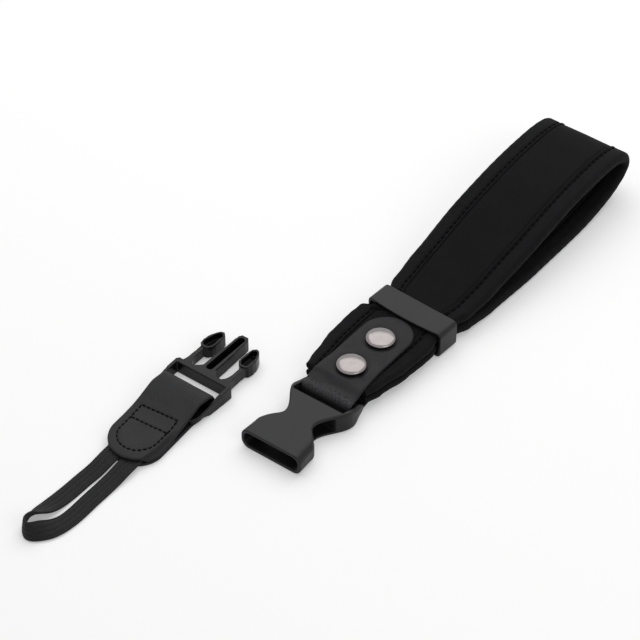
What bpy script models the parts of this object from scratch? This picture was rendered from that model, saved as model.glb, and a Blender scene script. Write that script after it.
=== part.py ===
"""Camera hand grip strap, laid out unclipped.

The loop half is a padded wrist band folded into a loop, with edge bindings, a keeper, a leather
tab, two rivets and the socket of a side release buckle. The connector half is the plug of that
buckle, a leather tab and a flat woven lug loop.

Metres, +Z up. +Y runs along the loop half, from the socket's mouth to the far fold. The floor is
z = 0, and the origin lies on the socket's flat underside.
"""
from math import cos, pi, radians, sin, sqrt, tan

import bmesh
import bpy
from mathutils import Vector

MM = 0.001
GAP = 0.3 * MM

# Socket of the side release buckle, for 25 mm webbing
MOUTH_Y = -7.0 * MM
SOCKET_HEIGHT = 9.6 * MM
SOCKET_WALL = 1.4 * MM
MOUTH_HALF_WIDTH = 14.7 * MM
WAIST_HALF_WIDTH = 7.4 * MM
CHEEK_HALF_WIDTH = 14.9 * MM
CAVITY_DEPTH = 27.0 * MM
BAR_Y = MOUTH_Y + 39.5 * MM
BAR_RADIUS = 2.0 * MM
BAR_Z = SOCKET_HEIGHT / 2

# Leather of both tabs
LEATHER = 1.4 * MM
TAB_HALF_WIDTH = 12.2 * MM
TAB_END_Y = MOUTH_Y + 88.3 * MM
TAB_TOP_Z = 11.15 * MM
TAB_BOTTOM_Z = 1.65 * MM

# Rivets through the tab
RIVET_PLACES = (("front", MOUTH_Y + 52.9 * MM), ("rear", MOUTH_Y + 72.9 * MM))
RIVET_RADIUS = 6.25 * MM
RIVET_CROWN = 2.2 * MM
RIVET_POST_RADIUS = 1.5 * MM
RIVET_BASE_RADIUS = 4.8 * MM

# Keeper that slides on the band, a little askew on it
KEEPER_Y = MOUTH_Y + 89.8 * MM
KEEPER_DEPTH = 11.2 * MM
KEEPER_END_Y = KEEPER_Y + KEEPER_DEPTH
KEEPER_HALF_WIDTH = 19.2 * MM
KEEPER_HEIGHT = 12.7 * MM
KEEPER_WALL = 1.3 * MM
KEEPER_TURN = radians(-3.2)

# Padded band: it starts and ends between the tab's two layers
BAND_START_Y = MOUTH_Y + 45.4 * MM
BAND_HALF_WIDTH = 22.1 * MM
FAR_FOLD_Y = MOUTH_Y + 231.2 * MM
FAR_FOLD_SKEW = 0.04
BINDING = 0.45 * MM
BINDING_MARGIN = 9.0 * MM

# Plug of the side release buckle
PLUG_X = -48.8 * MM
PLUG_FRONT_Y = MOUTH_Y + 19.3 * MM
PLUG_REAR_Y = MOUTH_Y - 5.6 * MM
PLUG_HALF_WIDTH = 14.5 * MM
PLUG_REAR_HALF_WIDTH = 13.8 * MM
PLUG_OPENING_HALF_WIDTH = 12.9 * MM
PLUG_BOTTOM_Z = 0.3 * MM
PLUG_TOP_Z = 6.5 * MM
PLUG_MID_Z = 3.4 * MM
PLUG_BAR_Y = MOUTH_Y + 7.3 * MM
PLUG_BAR_RADIUS = 1.7 * MM
GUIDE_LENGTH = 26.0 * MM
ARM_ROOT_OFFSET = 10.4 * MM

# Connector tab
CONNECTOR_TAB_LENGTH = 44.0 * MM
CONNECTOR_TAB_HALF_WIDTH = 12.5 * MM
CONNECTOR_TAB_SLANT = radians(4.4)
CONNECTOR_TAB_SHIFT = -0.9 * MM
CONNECTOR_TOP_Z = 4.0 * MM

# Woven lug loop: places in mm beside LUG_X, along Y and up, then the tape's tilt on edge in degrees
LUG_X = -46.9 * MM
LUG_TAPE_HALF_WIDTH = 4.0 * MM
LUG_TAPE_THICKNESS = 1.3 * MM
LUG_ROUTE = (
    (-4.3, -21, 2.35, 0), (-4.0, -32, 2.35, 0), (-3.6, -42, 2.35, 0), (-3.4, -47, 2.2, 0),
    (-3.5, -53, 1.2, 0), (-3.9, -60, 0.72, 0), (-3.95, -70, 0.68, 0), (-4.3, -78, 1.25, 7),
    (-5.1, -84, 2.6, 29), (-5.2, -88.6, 3.95, 62), (-4.1, -92.5, 4.1, 80), (-1.4, -94.6, 4.1, 80),
    (1.1, -93.9, 3.95, 66), (3.0, -90.8, 3.2, 42), (4.8, -86.4, 2.0, 20), (5.7, -81, 1.0, 4),
    (5.9, -75, 0.68, 0), (5.5, -66, 0.68, 0), (5.4, -60, 0.72, 0), (5.4, -53, 1.2, 0),
    (5.4, -47, 2.2, 0), (5.1, -42, 2.35, 0), (4.6, -32, 2.35, 0), (4.3, -21, 2.35, 0))


def clear_scene():
    for old in list(bpy.data.objects):
        bpy.data.objects.remove(old, do_unlink=True)


def make_material(name, colour, roughness, metallic=0.0):
    material = bpy.data.materials.new(name)
    material.use_nodes = True
    shader = material.node_tree.nodes["Principled BSDF"]
    shader.inputs["Base Color"].default_value = (*colour, 1.0)
    shader.inputs["Roughness"].default_value = roughness
    shader.inputs["Metallic"].default_value = metallic
    material.diffuse_color = (*colour, 1.0)
    return material


def make_object(name, shape, material, parent=None, smooth_angle=35):
    """Turn a bmesh into an object. With a parent, the shape is given relative to it."""
    bmesh.ops.remove_doubles(shape, verts=shape.verts, dist=1e-7)
    bmesh.ops.recalc_face_normals(shape, faces=shape.faces)
    mesh = bpy.data.meshes.new(name)
    shape.to_mesh(mesh)
    shape.free()
    mesh.shade_smooth()
    mesh.set_sharp_from_angle(angle=radians(smooth_angle))
    if material:
        mesh.materials.append(material)
    piece = bpy.data.objects.new(name, mesh)
    bpy.context.scene.collection.objects.link(piece)
    piece.parent = parent
    return piece


def make_pivot(name, location, parent=None):
    pivot = bpy.data.objects.new(name, None)
    bpy.context.scene.collection.objects.link(pivot)
    pivot.location = location
    pivot.parent = parent
    return pivot


def apply_boolean(piece, tool, operation):
    """Cut, join or intersect with a hidden tool object, which stays in the file as a guide."""
    tool.hide_render = True
    tool.display_type = "WIRE"
    modifier = piece.modifiers.new(f"{operation.lower()} {tool.name}", "BOOLEAN")
    modifier.operation = operation
    modifier.object = tool
    modifier.solver = "EXACT"


def add_ring(shape, points):
    return [shape.verts.new(point) for point in points]


def loft(rings):
    """Skin a list of closed rings with the same number of points, and cap both ends."""
    shape = bmesh.new()
    rows = [add_ring(shape, ring) for ring in rings]
    count = len(rows[0])
    for low, high in zip(rows, rows[1:]):
        for i in range(count):
            j = (i + 1) % count
            shape.faces.new((low[i], low[j], high[j], high[i]))
    shape.faces.new(rows[0])
    shape.faces.new(rows[-1])
    return shape


def extrude_outline(outline, low_z, high_z):
    low = [(x, y, low_z) for x, y in outline]
    high = [(x, y, high_z) for x, y in outline]
    return loft([low, high])


def extrude_side_outline(outline, half_width):
    """Extrude an outline of (y, z) points both ways along X."""
    left = [(-half_width, y, z) for y, z in outline]
    right = [(half_width, y, z) for y, z in outline]
    return loft([left, right])


def lathe(profile, segments=32):
    """Turn a closed profile of (radius, z) points about the Z axis; radius 0 is a pole."""
    shape = bmesh.new()
    columns = []
    for step in range(segments):
        angle = 2 * pi * step / segments
        columns.append([(r * cos(angle), r * sin(angle), z) for r, z in profile])
    rows = [add_ring(shape, column) for column in columns]
    for step in range(segments):
        here = rows[step]
        there = rows[(step + 1) % segments]
        for i in range(len(profile) - 1):
            corners = [here[i], there[i], there[i + 1], here[i + 1]]
            if profile[i][0] == 0:
                corners = [here[i], there[i + 1], here[i + 1]]
            elif profile[i + 1][0] == 0:
                corners = [here[i], there[i], here[i + 1]]
            shape.faces.new(corners)
    return shape


def cross_bar(radius, half_length, y, z, sides=20):
    """A round bar along X."""
    ring = [(y + radius * cos(2 * pi * i / sides), z + radius * sin(2 * pi * i / sides))
            for i in range(sides)]
    return extrude_side_outline(ring, half_length)


def rounded_rectangle(half_a, half_b, radius, steps=4):
    """Corner by corner round a rectangle centred on (0, 0)."""
    corners = (((half_a - radius), (half_b - radius), 0), (-(half_a - radius), (half_b - radius), 90),
               (-(half_a - radius), -(half_b - radius), 180), ((half_a - radius), -(half_b - radius), 270))
    points = []
    for centre_a, centre_b, start in corners:
        for step in range(steps + 1):
            angle = radians(start + 90 * step / steps)
            points.append((centre_a + radius * cos(angle), centre_b + radius * sin(angle)))
    return points


def catmull_rom(points, steps):
    """A smooth curve through all the points, with a number of steps between each pair."""
    ends = [2 * points[0] - points[1]] + list(points) + [2 * points[-1] - points[-2]]
    curve = []
    for a, b, c, d in zip(ends, ends[1:], ends[2:], ends[3:]):
        for step in range(steps):
            t = step / steps
            curve.append(0.5 * (2 * b + (c - a) * t + (2 * a - 5 * b + 4 * c - d) * t * t
                                + (3 * b - a - 3 * c + d) * t ** 3))
    curve.append(points[-1].copy())
    return curve


def smooth_step(low, high, value):
    t = min(max((value - low) / (high - low), 0.0), 1.0)
    return t * t * (3 - 2 * t)


def between(stations, value):
    """Ease through a list of (place, size) stations."""
    for (start, size), (end, next_size) in zip(stations, stations[1:]):
        if value <= end:
            return size + (next_size - size) * smooth_step(start, end, value)
    return stations[-1][1]


def path_normals(path):
    """The unit normal at each point of a path in the YZ plane."""
    normals = []
    for i in range(len(path)):
        before = path[max(i - 1, 0)]
        after = path[min(i + 1, len(path) - 1)]
        tangent = (after - before).normalized()
        normals.append(Vector((0.0, -tangent.z, tangent.y)))
    return normals


def sweep(path, section_at):
    """Carry a section of (x, height) points along a path in the YZ plane."""
    rings = []
    for i, (centre, normal) in enumerate(zip(path, path_normals(path))):
        rings.append([centre + Vector((x, 0, 0)) + normal * height for x, height in section_at(i)])
    return loft(rings)


def yz(y, z):
    return Vector((0.0, y, z))


# Band


def band_path():
    """Centre line of the band: along the bottom layer, round the far fold and back on top."""
    bottom_z, top_z = 4.45 * MM, 8.4 * MM
    low_z, high_z = 3.9 * MM, 8.75 * MM
    reach = TAB_END_Y - 5 * MM - BAND_START_Y
    tab_stations = [BAND_START_Y + reach * share for share in (0, 0.12, 0.28, 0.5, 0.75, 1)]
    points = [yz(y, bottom_z) for y in tab_stations]
    points += [yz(KEEPER_Y, low_z), yz(KEEPER_END_Y + 1 * MM, low_z),
               yz(KEEPER_END_Y + 12 * MM, 3.1 * MM), yz(KEEPER_END_Y + 26 * MM, 2.5 * MM),
               yz(KEEPER_END_Y + 55 * MM, 2.5 * MM), yz(FAR_FOLD_Y - 42 * MM, 2.6 * MM),
               yz(FAR_FOLD_Y - 27 * MM, 3.8 * MM), yz(FAR_FOLD_Y - 13 * MM, 6.8 * MM),
               yz(FAR_FOLD_Y - 3.2 * MM, 11.5 * MM), yz(FAR_FOLD_Y, 16.5 * MM),
               yz(FAR_FOLD_Y - 3.6 * MM, 21.1 * MM), yz(FAR_FOLD_Y - 13 * MM, 23.2 * MM),
               yz(FAR_FOLD_Y - 28 * MM, 23.4 * MM), yz(FAR_FOLD_Y - 46 * MM, 22.2 * MM),
               yz(FAR_FOLD_Y - 65 * MM, 19.4 * MM), yz(FAR_FOLD_Y - 84 * MM, 15.8 * MM),
               yz(KEEPER_END_Y + 27 * MM, 12.0 * MM), yz(KEEPER_END_Y + 12 * MM, 9.5 * MM),
               yz(KEEPER_END_Y + 1 * MM, high_z), yz(KEEPER_Y, high_z)]
    points += [yz(y, top_z) for y in tab_stations[::-1]]
    return catmull_rom(points, steps=3)


def band_reach_left(y):
    """The band's left edge: narrow at the buckle, pinched by the keeper, and full round the loop."""
    return between(((BAND_START_Y, 17.3 * MM), (BAND_START_Y + 8 * MM, 18.9 * MM),
                    (BAND_START_Y + 22 * MM, 21.1 * MM), (KEEPER_Y - 9 * MM, 21.7 * MM),
                    (KEEPER_Y - 2.5 * MM, 21.2 * MM), (KEEPER_Y, 17.3 * MM), (KEEPER_END_Y, 17.2 * MM),
                    (KEEPER_END_Y + 9 * MM, 19.7 * MM), (KEEPER_END_Y + 24 * MM, 20.9 * MM),
                    (KEEPER_END_Y + 56 * MM, BAND_HALF_WIDTH)), y)


def band_reach_right(y):
    return between(((BAND_START_Y, 12.9 * MM), (BAND_START_Y + 8 * MM, 14.9 * MM),
                    (BAND_START_Y + 22 * MM, 17.3 * MM), (KEEPER_Y - 9 * MM, 18.2 * MM),
                    (KEEPER_Y - 5 * MM, 18.2 * MM), (KEEPER_Y - 2 * MM, 17.1 * MM), (KEEPER_END_Y, 17.2 * MM),
                    (KEEPER_END_Y + 9 * MM, 19.7 * MM), (KEEPER_END_Y + 24 * MM, 20.9 * MM),
                    (KEEPER_END_Y + 56 * MM, BAND_HALF_WIDTH)), y)


def band_half_width(y):
    return (band_reach_left(y) + band_reach_right(y)) / 2


def band_shift(y):
    """How far the band's middle lies beside the tab's: a little to the left, ahead of the keeper."""
    return (band_reach_right(y) - band_reach_left(y)) / 2


def band_skew(y):
    """How much further the band's left edge reaches than its middle, for each metre out from it."""
    return -FAR_FOLD_SKEW * smooth_step(FAR_FOLD_Y - 70 * MM, FAR_FOLD_Y - 10 * MM, y)


def band_half_thickness(y):
    """Pressed flat under the tab and in the keeper, and full round the loop."""
    return between(((TAB_END_Y - 5 * MM, 1.8 * MM), (KEEPER_Y, 2.2 * MM),
                    (KEEPER_END_Y, 2.2 * MM), (KEEPER_Y + 45 * MM, 2.45 * MM)), y)


def band_margin(y):
    """How far the binding reaches in from the band's edge."""
    return BINDING_MARGIN * band_half_width(y) / BAND_HALF_WIDTH


def sweep_band(path, section_at):
    """Carry a section along the band, with the band's own sideways shift and the slant of its far fold."""
    rings = []
    for i, (centre, normal) in enumerate(zip(path, path_normals(path))):
        shift = band_shift(centre.y)
        skew = band_skew(centre.y)
        rings.append([centre + Vector((x + shift, x * skew, 0)) + normal * height
                      for x, height in section_at(i)])
    return loft(rings)


def build_band(material):
    path = band_path()

    def section(i):
        half_width = band_half_width(path[i].y) - BINDING - GAP
        half_thickness = band_half_thickness(path[i].y) - BINDING - GAP
        return rounded_rectangle(half_width, half_thickness, half_thickness * 0.8, steps=2)

    return make_object("wrist_band", sweep_band(path, section), material)


def build_binding(side, material):
    """A folded tape round one edge of the band, with a C-shaped section."""
    sign = -1 if side == "left" else 1
    path = band_path()

    def section(i):
        outer_width = band_half_width(path[i].y)
        outer_height = band_half_thickness(path[i].y)
        inner_line = outer_width - band_margin(path[i].y)
        outer = [(inner_line, outer_height)]
        inner = [(inner_line, outer_height - BINDING)]
        for angle in (90, 50, 15, -15, -50, -90):
            turn = radians(angle)
            depth = outer_height * 0.85
            outer.append((outer_width - depth + depth * cos(turn), outer_height * sin(turn)))
            inner.append((outer_width - depth + (depth - BINDING) * cos(turn),
                          (outer_height - BINDING) * sin(turn)))
        outer.append((inner_line, -outer_height))
        inner.append((inner_line, -outer_height + BINDING))
        return [(sign * x, height) for x, height in outer + inner[::-1]]

    return make_object(f"edge_binding_{side}", sweep_band(path, section), material)


# Leather tabs


def rounded_end(half_width, distance_to_end, radius):
    """Half width of a strip whose end is rounded in plan."""
    if distance_to_end >= radius:
        return half_width
    reach = radius - max(distance_to_end, 0.0)
    return max(half_width * sqrt(max(1 - (reach / radius) ** 2, 0.0)), 1.2 * MM)


def end_stations(start_y, end_y, radius, steps=7):
    """Stations along a rounded end, closer together towards its tip."""
    direction = 1 if end_y > start_y else -1
    return [end_y - direction * radius * (1 - sin(radians(90 * step / steps))) for step in range(steps + 1)]


def build_strip(name, path, half_width_at, material, parent=None, lean_at=None):
    """A leather strip; lean_at tells how far it lies to one side at a point of its path."""
    def section(i):
        outline = rounded_rectangle(half_width_at(path[i].y), LEATHER / 2, LEATHER * 0.3, steps=1)
        lean = lean_at(path[i]) if lean_at else 0.0
        return [(x + lean, height) for x, height in outline]

    return make_object(name, sweep(path, section), material, parent, smooth_angle=50)


def socket_fold():
    """The loose fold round the socket's bar, from the slope above it to the layer below."""
    fold = [(8.5, 6.35), (6.7, 6.35), (4.8, 6.2), (2.2, 5.3), (-1.0, 4.4), (-3.4, 3.4), (-4.5, 1.6),
            (-4.6, -0.4), (-3.8, -2.3), (-2.2, -3.4), (0.3, -3.75), (4.0, -3.4)]
    return [yz(BAR_Y + y * MM, BAR_Z + z * MM) for y, z in fold]


def build_socket_tab(material):
    """One strip of leather folded round the socket's bar, over and under the band's ends."""
    end_radius = TAB_HALF_WIDTH * 0.95
    tip_stations = end_stations(BAR_Y, TAB_END_Y, end_radius)
    top = [yz(y, TAB_TOP_Z) for y in tip_stations[::-1]] + [yz(TAB_END_Y - end_radius - 14 * MM, TAB_TOP_Z)]
    bottom = [yz(BAND_START_Y + 3 * MM, TAB_BOTTOM_Z)] + [yz(y, TAB_BOTTOM_Z) for y in tip_stations]
    path = top + catmull_rom(socket_fold(), steps=2) + bottom

    def half_width_at(y):
        waist = 0.9 * MM * smooth_step(BAR_Y, BAR_Y + 20 * MM, y)
        return rounded_end(TAB_HALF_WIDTH - waist, TAB_END_Y - y, end_radius)

    return build_strip("socket_tab", path, half_width_at, material)


def connector_fold(bottom_z):
    """The loose fold round the plug's front bar, from the sewn part on top to the layer below."""
    slope = [yz(-26 * MM, CONNECTOR_TOP_Z), yz(-20 * MM, CONNECTOR_TOP_Z + 0.3 * MM)]
    fold = [(-15, 5.1), (-10, 6.3), (-5.5, 7.3), (-2.0, 7.7), (0.6, 7.2), (2.1, 5.6), (2.75, 3.5), (2.0, 1.5)]
    return slope + [yz(y * MM, z * MM) for y, z in fold] + [yz(0.0, bottom_z), yz(-5 * MM, bottom_z)]


def build_connector_tab(material, pivot):
    """Leather folded round the plug's front bar and over its rear bar. Its frame is the front bar's."""
    end_radius = CONNECTOR_TAB_HALF_WIDTH
    tip_stations = end_stations(0.0, -CONNECTOR_TAB_LENGTH, end_radius)
    bottom_z = PLUG_MID_Z - PLUG_BAR_RADIUS - GAP - LEATHER / 2
    top = [yz(y, CONNECTOR_TOP_Z) for y in tip_stations[::-1]]
    bottom = [yz(-14 * MM, bottom_z)] + [yz(y, bottom_z) for y in tip_stations]
    path = top + catmull_rom(connector_fold(bottom_z), steps=2) + bottom

    def half_width_at(y):
        return rounded_end(CONNECTOR_TAB_HALF_WIDTH, CONNECTOR_TAB_LENGTH + y, end_radius)

    def lean_at(point):
        start = 1 * MM if point.z > PLUG_MID_Z else 6 * MM
        shift = CONNECTOR_TAB_SHIFT * smooth_step(start, start + 6 * MM, -point.y)
        return shift + max(-point.y, 0.0) * tan(CONNECTOR_TAB_SLANT)

    return build_strip("connector_tab", path, half_width_at, material, pivot, lean_at)


# Rivets


def cut_rivet_holes(piece):
    for place, y in RIVET_PLACES:
        hole = RIVET_POST_RADIUS + GAP
        shape = lathe([(0, -1 * MM), (hole, -1 * MM), (hole, 14 * MM), (0, 14 * MM)], segments=20)
        cutter = make_object(f"{piece.name}_hole_{place}", shape, None)
        cutter.location = (0.0, y, 0.0)
        apply_boolean(piece, cutter, "DIFFERENCE")


def build_rivet(place, y, material):
    """A domed cap on top, and a base whose post runs up into the cap."""
    cap_z = TAB_TOP_Z + LEATHER / 2 + 0.25 * MM
    post_top = cap_z + 0.55 * MM
    rim = 0.45 * MM
    dome = [(RIVET_RADIUS * cos(radians(a)), cap_z + rim + (RIVET_CROWN - rim) * sin(radians(a)))
            for a in range(0, 90, 15)]
    bore = RIVET_POST_RADIUS + GAP
    profile = [(0, post_top + GAP), (bore, post_top + GAP), (bore, cap_z), (RIVET_RADIUS - 0.5 * MM, cap_z),
               (RIVET_RADIUS, cap_z + 0.25 * MM)] + dome + [(0, cap_z + RIVET_CROWN)]
    cap = make_object(f"rivet_cap_{place}", lathe(profile, segments=28), material)
    cap.location = (0.0, y, 0.0)
    base_top = TAB_BOTTOM_Z - LEATHER / 2 - 0.2 * MM
    profile = [(0, 0), (RIVET_BASE_RADIUS - 0.3 * MM, 0), (RIVET_BASE_RADIUS, 0.25 * MM),
               (RIVET_BASE_RADIUS, base_top), (RIVET_POST_RADIUS, base_top),
               (RIVET_POST_RADIUS, post_top), (0, post_top)]
    base = make_object(f"rivet_base_{place}", lathe(profile, segments=24), material)
    base.location = (0.0, y, 0.0)


# Keeper


def build_keeper(material, pivot):
    """A moulded rectangular ring. Its frame is the middle of its underside."""
    half_height = KEEPER_HEIGHT / 2
    outer = rounded_rectangle(KEEPER_HALF_WIDTH, half_height, 2.2 * MM, steps=5)
    inner = rounded_rectangle(KEEPER_HALF_WIDTH - KEEPER_WALL, half_height - KEEPER_WALL, 1.1 * MM, steps=5)
    edge = 0.35 * MM
    half_depth = KEEPER_DEPTH / 2
    shape = bmesh.new()
    rows = []
    for outline, y, inset in ((outer, -half_depth + edge, 0), (outer, half_depth - edge, 0),
                              (outer, half_depth, edge), (inner, half_depth, -edge),
                              (inner, half_depth - edge, 0), (inner, -half_depth + edge, 0),
                              (inner, -half_depth, -edge), (outer, -half_depth, edge)):
        ring = []
        for x, z in outline:
            shrink = 1 - inset / Vector((x, z)).length
            ring.append((x * shrink, y, half_height + z * shrink))
        rows.append(add_ring(shape, ring))
    count = len(outer)
    for low, high in zip(rows, rows[1:] + rows[:1]):
        for i in range(count):
            j = (i + 1) % count
            shape.faces.new((low[i], low[j], high[j], high[i]))
    return make_object("keeper", shape, material, pivot)


# Socket, in the frame of its bar


def socket_half_width(distance):
    """Outline of the socket in plan, by distance from the mouth."""
    return between(((0, MOUTH_HALF_WIDTH), (9 * MM, MOUTH_HALF_WIDTH - 0.7 * MM),
                    (18.6 * MM, WAIST_HALF_WIDTH), (34.5 * MM, CHEEK_HALF_WIDTH)), distance)


def rounded_section(half_width, low_z, high_z, radius, y, steps=4):
    middle = (low_z + high_z) / 2
    outline = rounded_rectangle(half_width, (high_z - low_z) / 2, radius, steps)
    return [(x, y, middle + z) for x, z in outline]


def socket_body():
    """The flattened sleeve from the mouth to the strap slot, with its waist."""
    places = (0, 0.4, 4, 8, 10, 12, 14, 16, 18, 20, 22, 24, 26, 28, 30.6)
    rings = []
    for place in places:
        distance = place * MM
        lip = 0.35 * MM if place == 0 else 0.0
        radius = between(((0, 3.7 * MM), (10 * MM, 3.0 * MM), (15 * MM, 1.1 * MM)), distance)
        y = MOUTH_Y - BAR_Y + distance
        rings.append(rounded_section(socket_half_width(distance) - lip, lip - BAR_Z,
                                     SOCKET_HEIGHT - lip - BAR_Z, radius - lip, y))
    return loft(rings)


def socket_cavity():
    """The hollow that takes the plug: it narrows behind the mouth and opens into the side windows."""
    low = SOCKET_WALL - BAR_Z
    high = SOCKET_HEIGHT - SOCKET_WALL - BAR_Z
    rings = []
    for place, half_width, radius in ((-1, 13.3, 2.6), (2, 13.2, 2.6), (11.8, 10.7, 2.2), (12.0, 15, 0.6),
                                      (23.4, 15, 0.6), (23.5, 7.4, 0.5), (CAVITY_DEPTH / MM, 7.4, 0.5)):
        y = MOUTH_Y - BAR_Y + place * MM
        rings.append(rounded_section(half_width * MM, low, high, radius * MM, y))
    return loft(rings)


def socket_cheek(sign):
    """One side of the strap slot, rounded about the bar at its end."""
    inner = TAB_HALF_WIDTH + 0.45 * MM
    rings = []
    for place in (28.6, 30, 32, 34.5, 36, 38, 39.5, 40.8, 41.8, 42.5):
        distance = place * MM
        y = MOUTH_Y + distance - BAR_Y
        outer = socket_half_width(distance) - 0.9 * MM * smooth_step(36 * MM, 43 * MM, distance)
        low, high = cheek_heights(distance)
        half = max((outer - inner) / 2, 0.35 * MM)
        outline = rounded_rectangle(half, (high - low) / 2, min(0.8 * MM, half * 0.7), steps=2)
        rings.append([(sign * (inner + half + x), y, (low + high) / 2 + z) for x, z in outline])
    return loft(rings)


def cheek_heights(distance):
    """The lower and upper side of a cheek: it tapers from the full height to an eye about the bar."""
    eye = 2.6 * MM
    back = max(MOUTH_Y + distance - BAR_Y, 0.0)
    if back > 0:
        half = eye * sqrt(max(1 - (back / (3.1 * MM)) ** 2, 0.05))
        return -half, half
    high = between(((30.6 * MM, BAR_Z - 0.05 * MM), (39.5 * MM, eye)), distance)
    low = between(((35 * MM, 0.05 * MM - BAR_Z), (39.5 * MM, -eye)), distance)
    return low, high


def build_socket(material, pivot):
    socket = make_object("socket", socket_body(), material, pivot)
    for side, sign in (("left", -1), ("right", 1)):
        apply_boolean(socket, make_object(f"socket_cheek_{side}", socket_cheek(sign), None, pivot), "UNION")
    bar = make_object("socket_bar", cross_bar(BAR_RADIUS, 13.3 * MM, 0.0, 0.0), None, pivot)
    apply_boolean(socket, bar, "UNION")
    cavity = make_object("socket_cavity", socket_cavity(), None, pivot)
    apply_boolean(socket, cavity, "DIFFERENCE")
    return socket


# Plug, in the frame of the middle of its front edge at floor level


def plug_outline():
    """The frame in plan, square at the front and round at the rear."""
    length = PLUG_FRONT_Y - PLUG_REAR_Y
    corner = 5.0 * MM
    arc = [radians(90 * step / 5) for step in range(6)]
    right = [(PLUG_HALF_WIDTH - 1 * MM, 0.0), (PLUG_HALF_WIDTH, -1.2 * MM), (PLUG_HALF_WIDTH, -5 * MM)]
    right += [(PLUG_REAR_HALF_WIDTH - corner + corner * cos(angle), -length + corner - corner * sin(angle))
              for angle in arc]
    left = [(-x, y) for x, y in right[::-1]]
    return right + left


def plug_side_outline():
    """The frame from the side: full height at the front, thin at the rear under the leather."""
    bar = PLUG_BAR_Y - PLUG_FRONT_Y
    rear = PLUG_REAR_Y - PLUG_FRONT_Y - 1 * MM
    return [(1 * MM, PLUG_BOTTOM_Z), (1 * MM, PLUG_TOP_Z), (bar + 5 * MM, PLUG_TOP_Z - 0.3 * MM),
            (bar - 8 * MM, 3.95 * MM), (rear, 3.8 * MM), (rear, 1.75 * MM), (bar - 6 * MM, 1.75 * MM),
            (bar - 2 * MM, PLUG_BOTTOM_Z)]


def guide_half_width(distance):
    return between(((0, 5.6 * MM), (2.8 * MM, 3.15 * MM), (22 * MM, 2.7 * MM), (24.8 * MM, 2.4 * MM),
                    (GUIDE_LENGTH, 1.6 * MM)), distance)


def guide_shape(start, end):
    """The centre post."""
    right = []
    for step in range(15):
        distance = start + (end - start) * step / 14
        right.append((guide_half_width(distance), distance))
    left = [(-x, y) for x, y in right[::-1]]
    return extrude_outline(right + left, PLUG_BOTTOM_Z + 0.2 * MM, PLUG_TOP_Z - 0.1 * MM)


def channel_shape(low_z, high_z):
    """The open-topped channel along the guide, round at both ends."""
    half_width = 1.55 * MM
    start = 1.6 * MM + half_width
    end = GUIDE_LENGTH - 1.3 * MM - half_width
    arc = [radians(180 * step / 6) for step in range(7)]
    far = [(half_width * cos(angle), end + half_width * sin(angle)) for angle in arc]
    near = [(-half_width * cos(angle), start - half_width * sin(angle)) for angle in arc]
    return extrude_outline(far + near, low_z, high_z)


def build_plug_frame(material, pivot):
    frame = make_object("plug_frame", extrude_outline(plug_outline(), 0.0, 8 * MM), material, pivot)
    profile = make_object("plug_profile", extrude_side_outline(plug_side_outline(), 20 * MM), None, pivot)
    apply_boolean(frame, profile, "INTERSECT")
    opening = PLUG_OPENING_HALF_WIDTH
    rear_opening = opening - 0.7 * MM
    rear = PLUG_REAR_Y - PLUG_FRONT_Y + 3.2 * MM
    slot = [(opening, -2.5 * MM), (-opening, -2.5 * MM), (-opening, -15 * MM), (-rear_opening, rear),
            (rear_opening, rear), (opening, -15 * MM)]
    cutter = make_object("plug_opening", extrude_outline(slot, -1 * MM, 9 * MM), None, pivot)
    apply_boolean(frame, cutter, "DIFFERENCE")
    bar = cross_bar(PLUG_BAR_RADIUS, opening + 0.6 * MM, PLUG_BAR_Y - PLUG_FRONT_Y, PLUG_MID_Z)
    apply_boolean(frame, make_object("plug_front_bar", bar, None, pivot), "UNION")
    guide = guide_shape(-0.6 * MM, GUIDE_LENGTH)
    apply_boolean(frame, make_object("plug_guide", guide, None, pivot), "UNION")
    channel = make_object("plug_channel", channel_shape(2.0 * MM, 9 * MM), None, pivot)
    apply_boolean(frame, channel, "DIFFERENCE")
    return frame


def arm_outline(sign):
    """The springy stem of a latch arm in plan, from its root at (0, 0)."""
    stem = ((1.9, 0.0), (1.5, 1.4), (1.3, 4.0), (1.25, 8.0), (1.4, 13.5), (-0.9, 13.5), (-0.8, 8.0),
            (-0.8, 4.0), (-1.1, 1.4), (-1.8, 0.0))
    return [(sign * x * MM, y * MM) for x, y in stem]


def barb_outline(sign, inset=0.0):
    """The arrow head of a latch arm in plan; inset gives the hollow in its top."""
    head = ((1.0, 10.9), (2.2, 11.9), (2.6, 14.2), (2.35, 16.9), (1.7, 18.9), (0.7, 20.9), (-0.4, 22.3),
            (-1.8, 22.7), (-3.3, 21.3), (-3.65, 17.7), (-3.7, 14.7), (-3.4, 12.6), (-2.2, 11.1), (-0.8, 10.5))
    centre_x, centre_y = -0.6, 16.6
    points = []
    for x, y in head:
        shrink = 1 - inset / Vector((x - centre_x, y - centre_y)).length
        points.append((sign * (centre_x + (x - centre_x) * shrink) * MM,
                       (centre_y + (y - centre_y) * shrink) * MM))
    return points


def build_latch_arm(side, material, pivot):
    """One flexing arm. Its frame is the hinge line at its root."""
    sign = -1 if side == "left" else 1
    stem = extrude_outline(arm_outline(sign), 1.0 * MM, 5.6 * MM)
    arm = make_object(f"latch_arm_{side}", stem, material, pivot)
    head = extrude_outline(barb_outline(sign), 0.5 * MM, 6.3 * MM)
    apply_boolean(arm, make_object(f"barb_{side}", head, None, pivot), "UNION")
    hollow = extrude_outline(barb_outline(sign, inset=1.1), 3.4 * MM, 8 * MM)
    apply_boolean(arm, make_object(f"barb_hollow_{side}", hollow, None, pivot), "DIFFERENCE")
    return arm


# Lug loop


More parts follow.
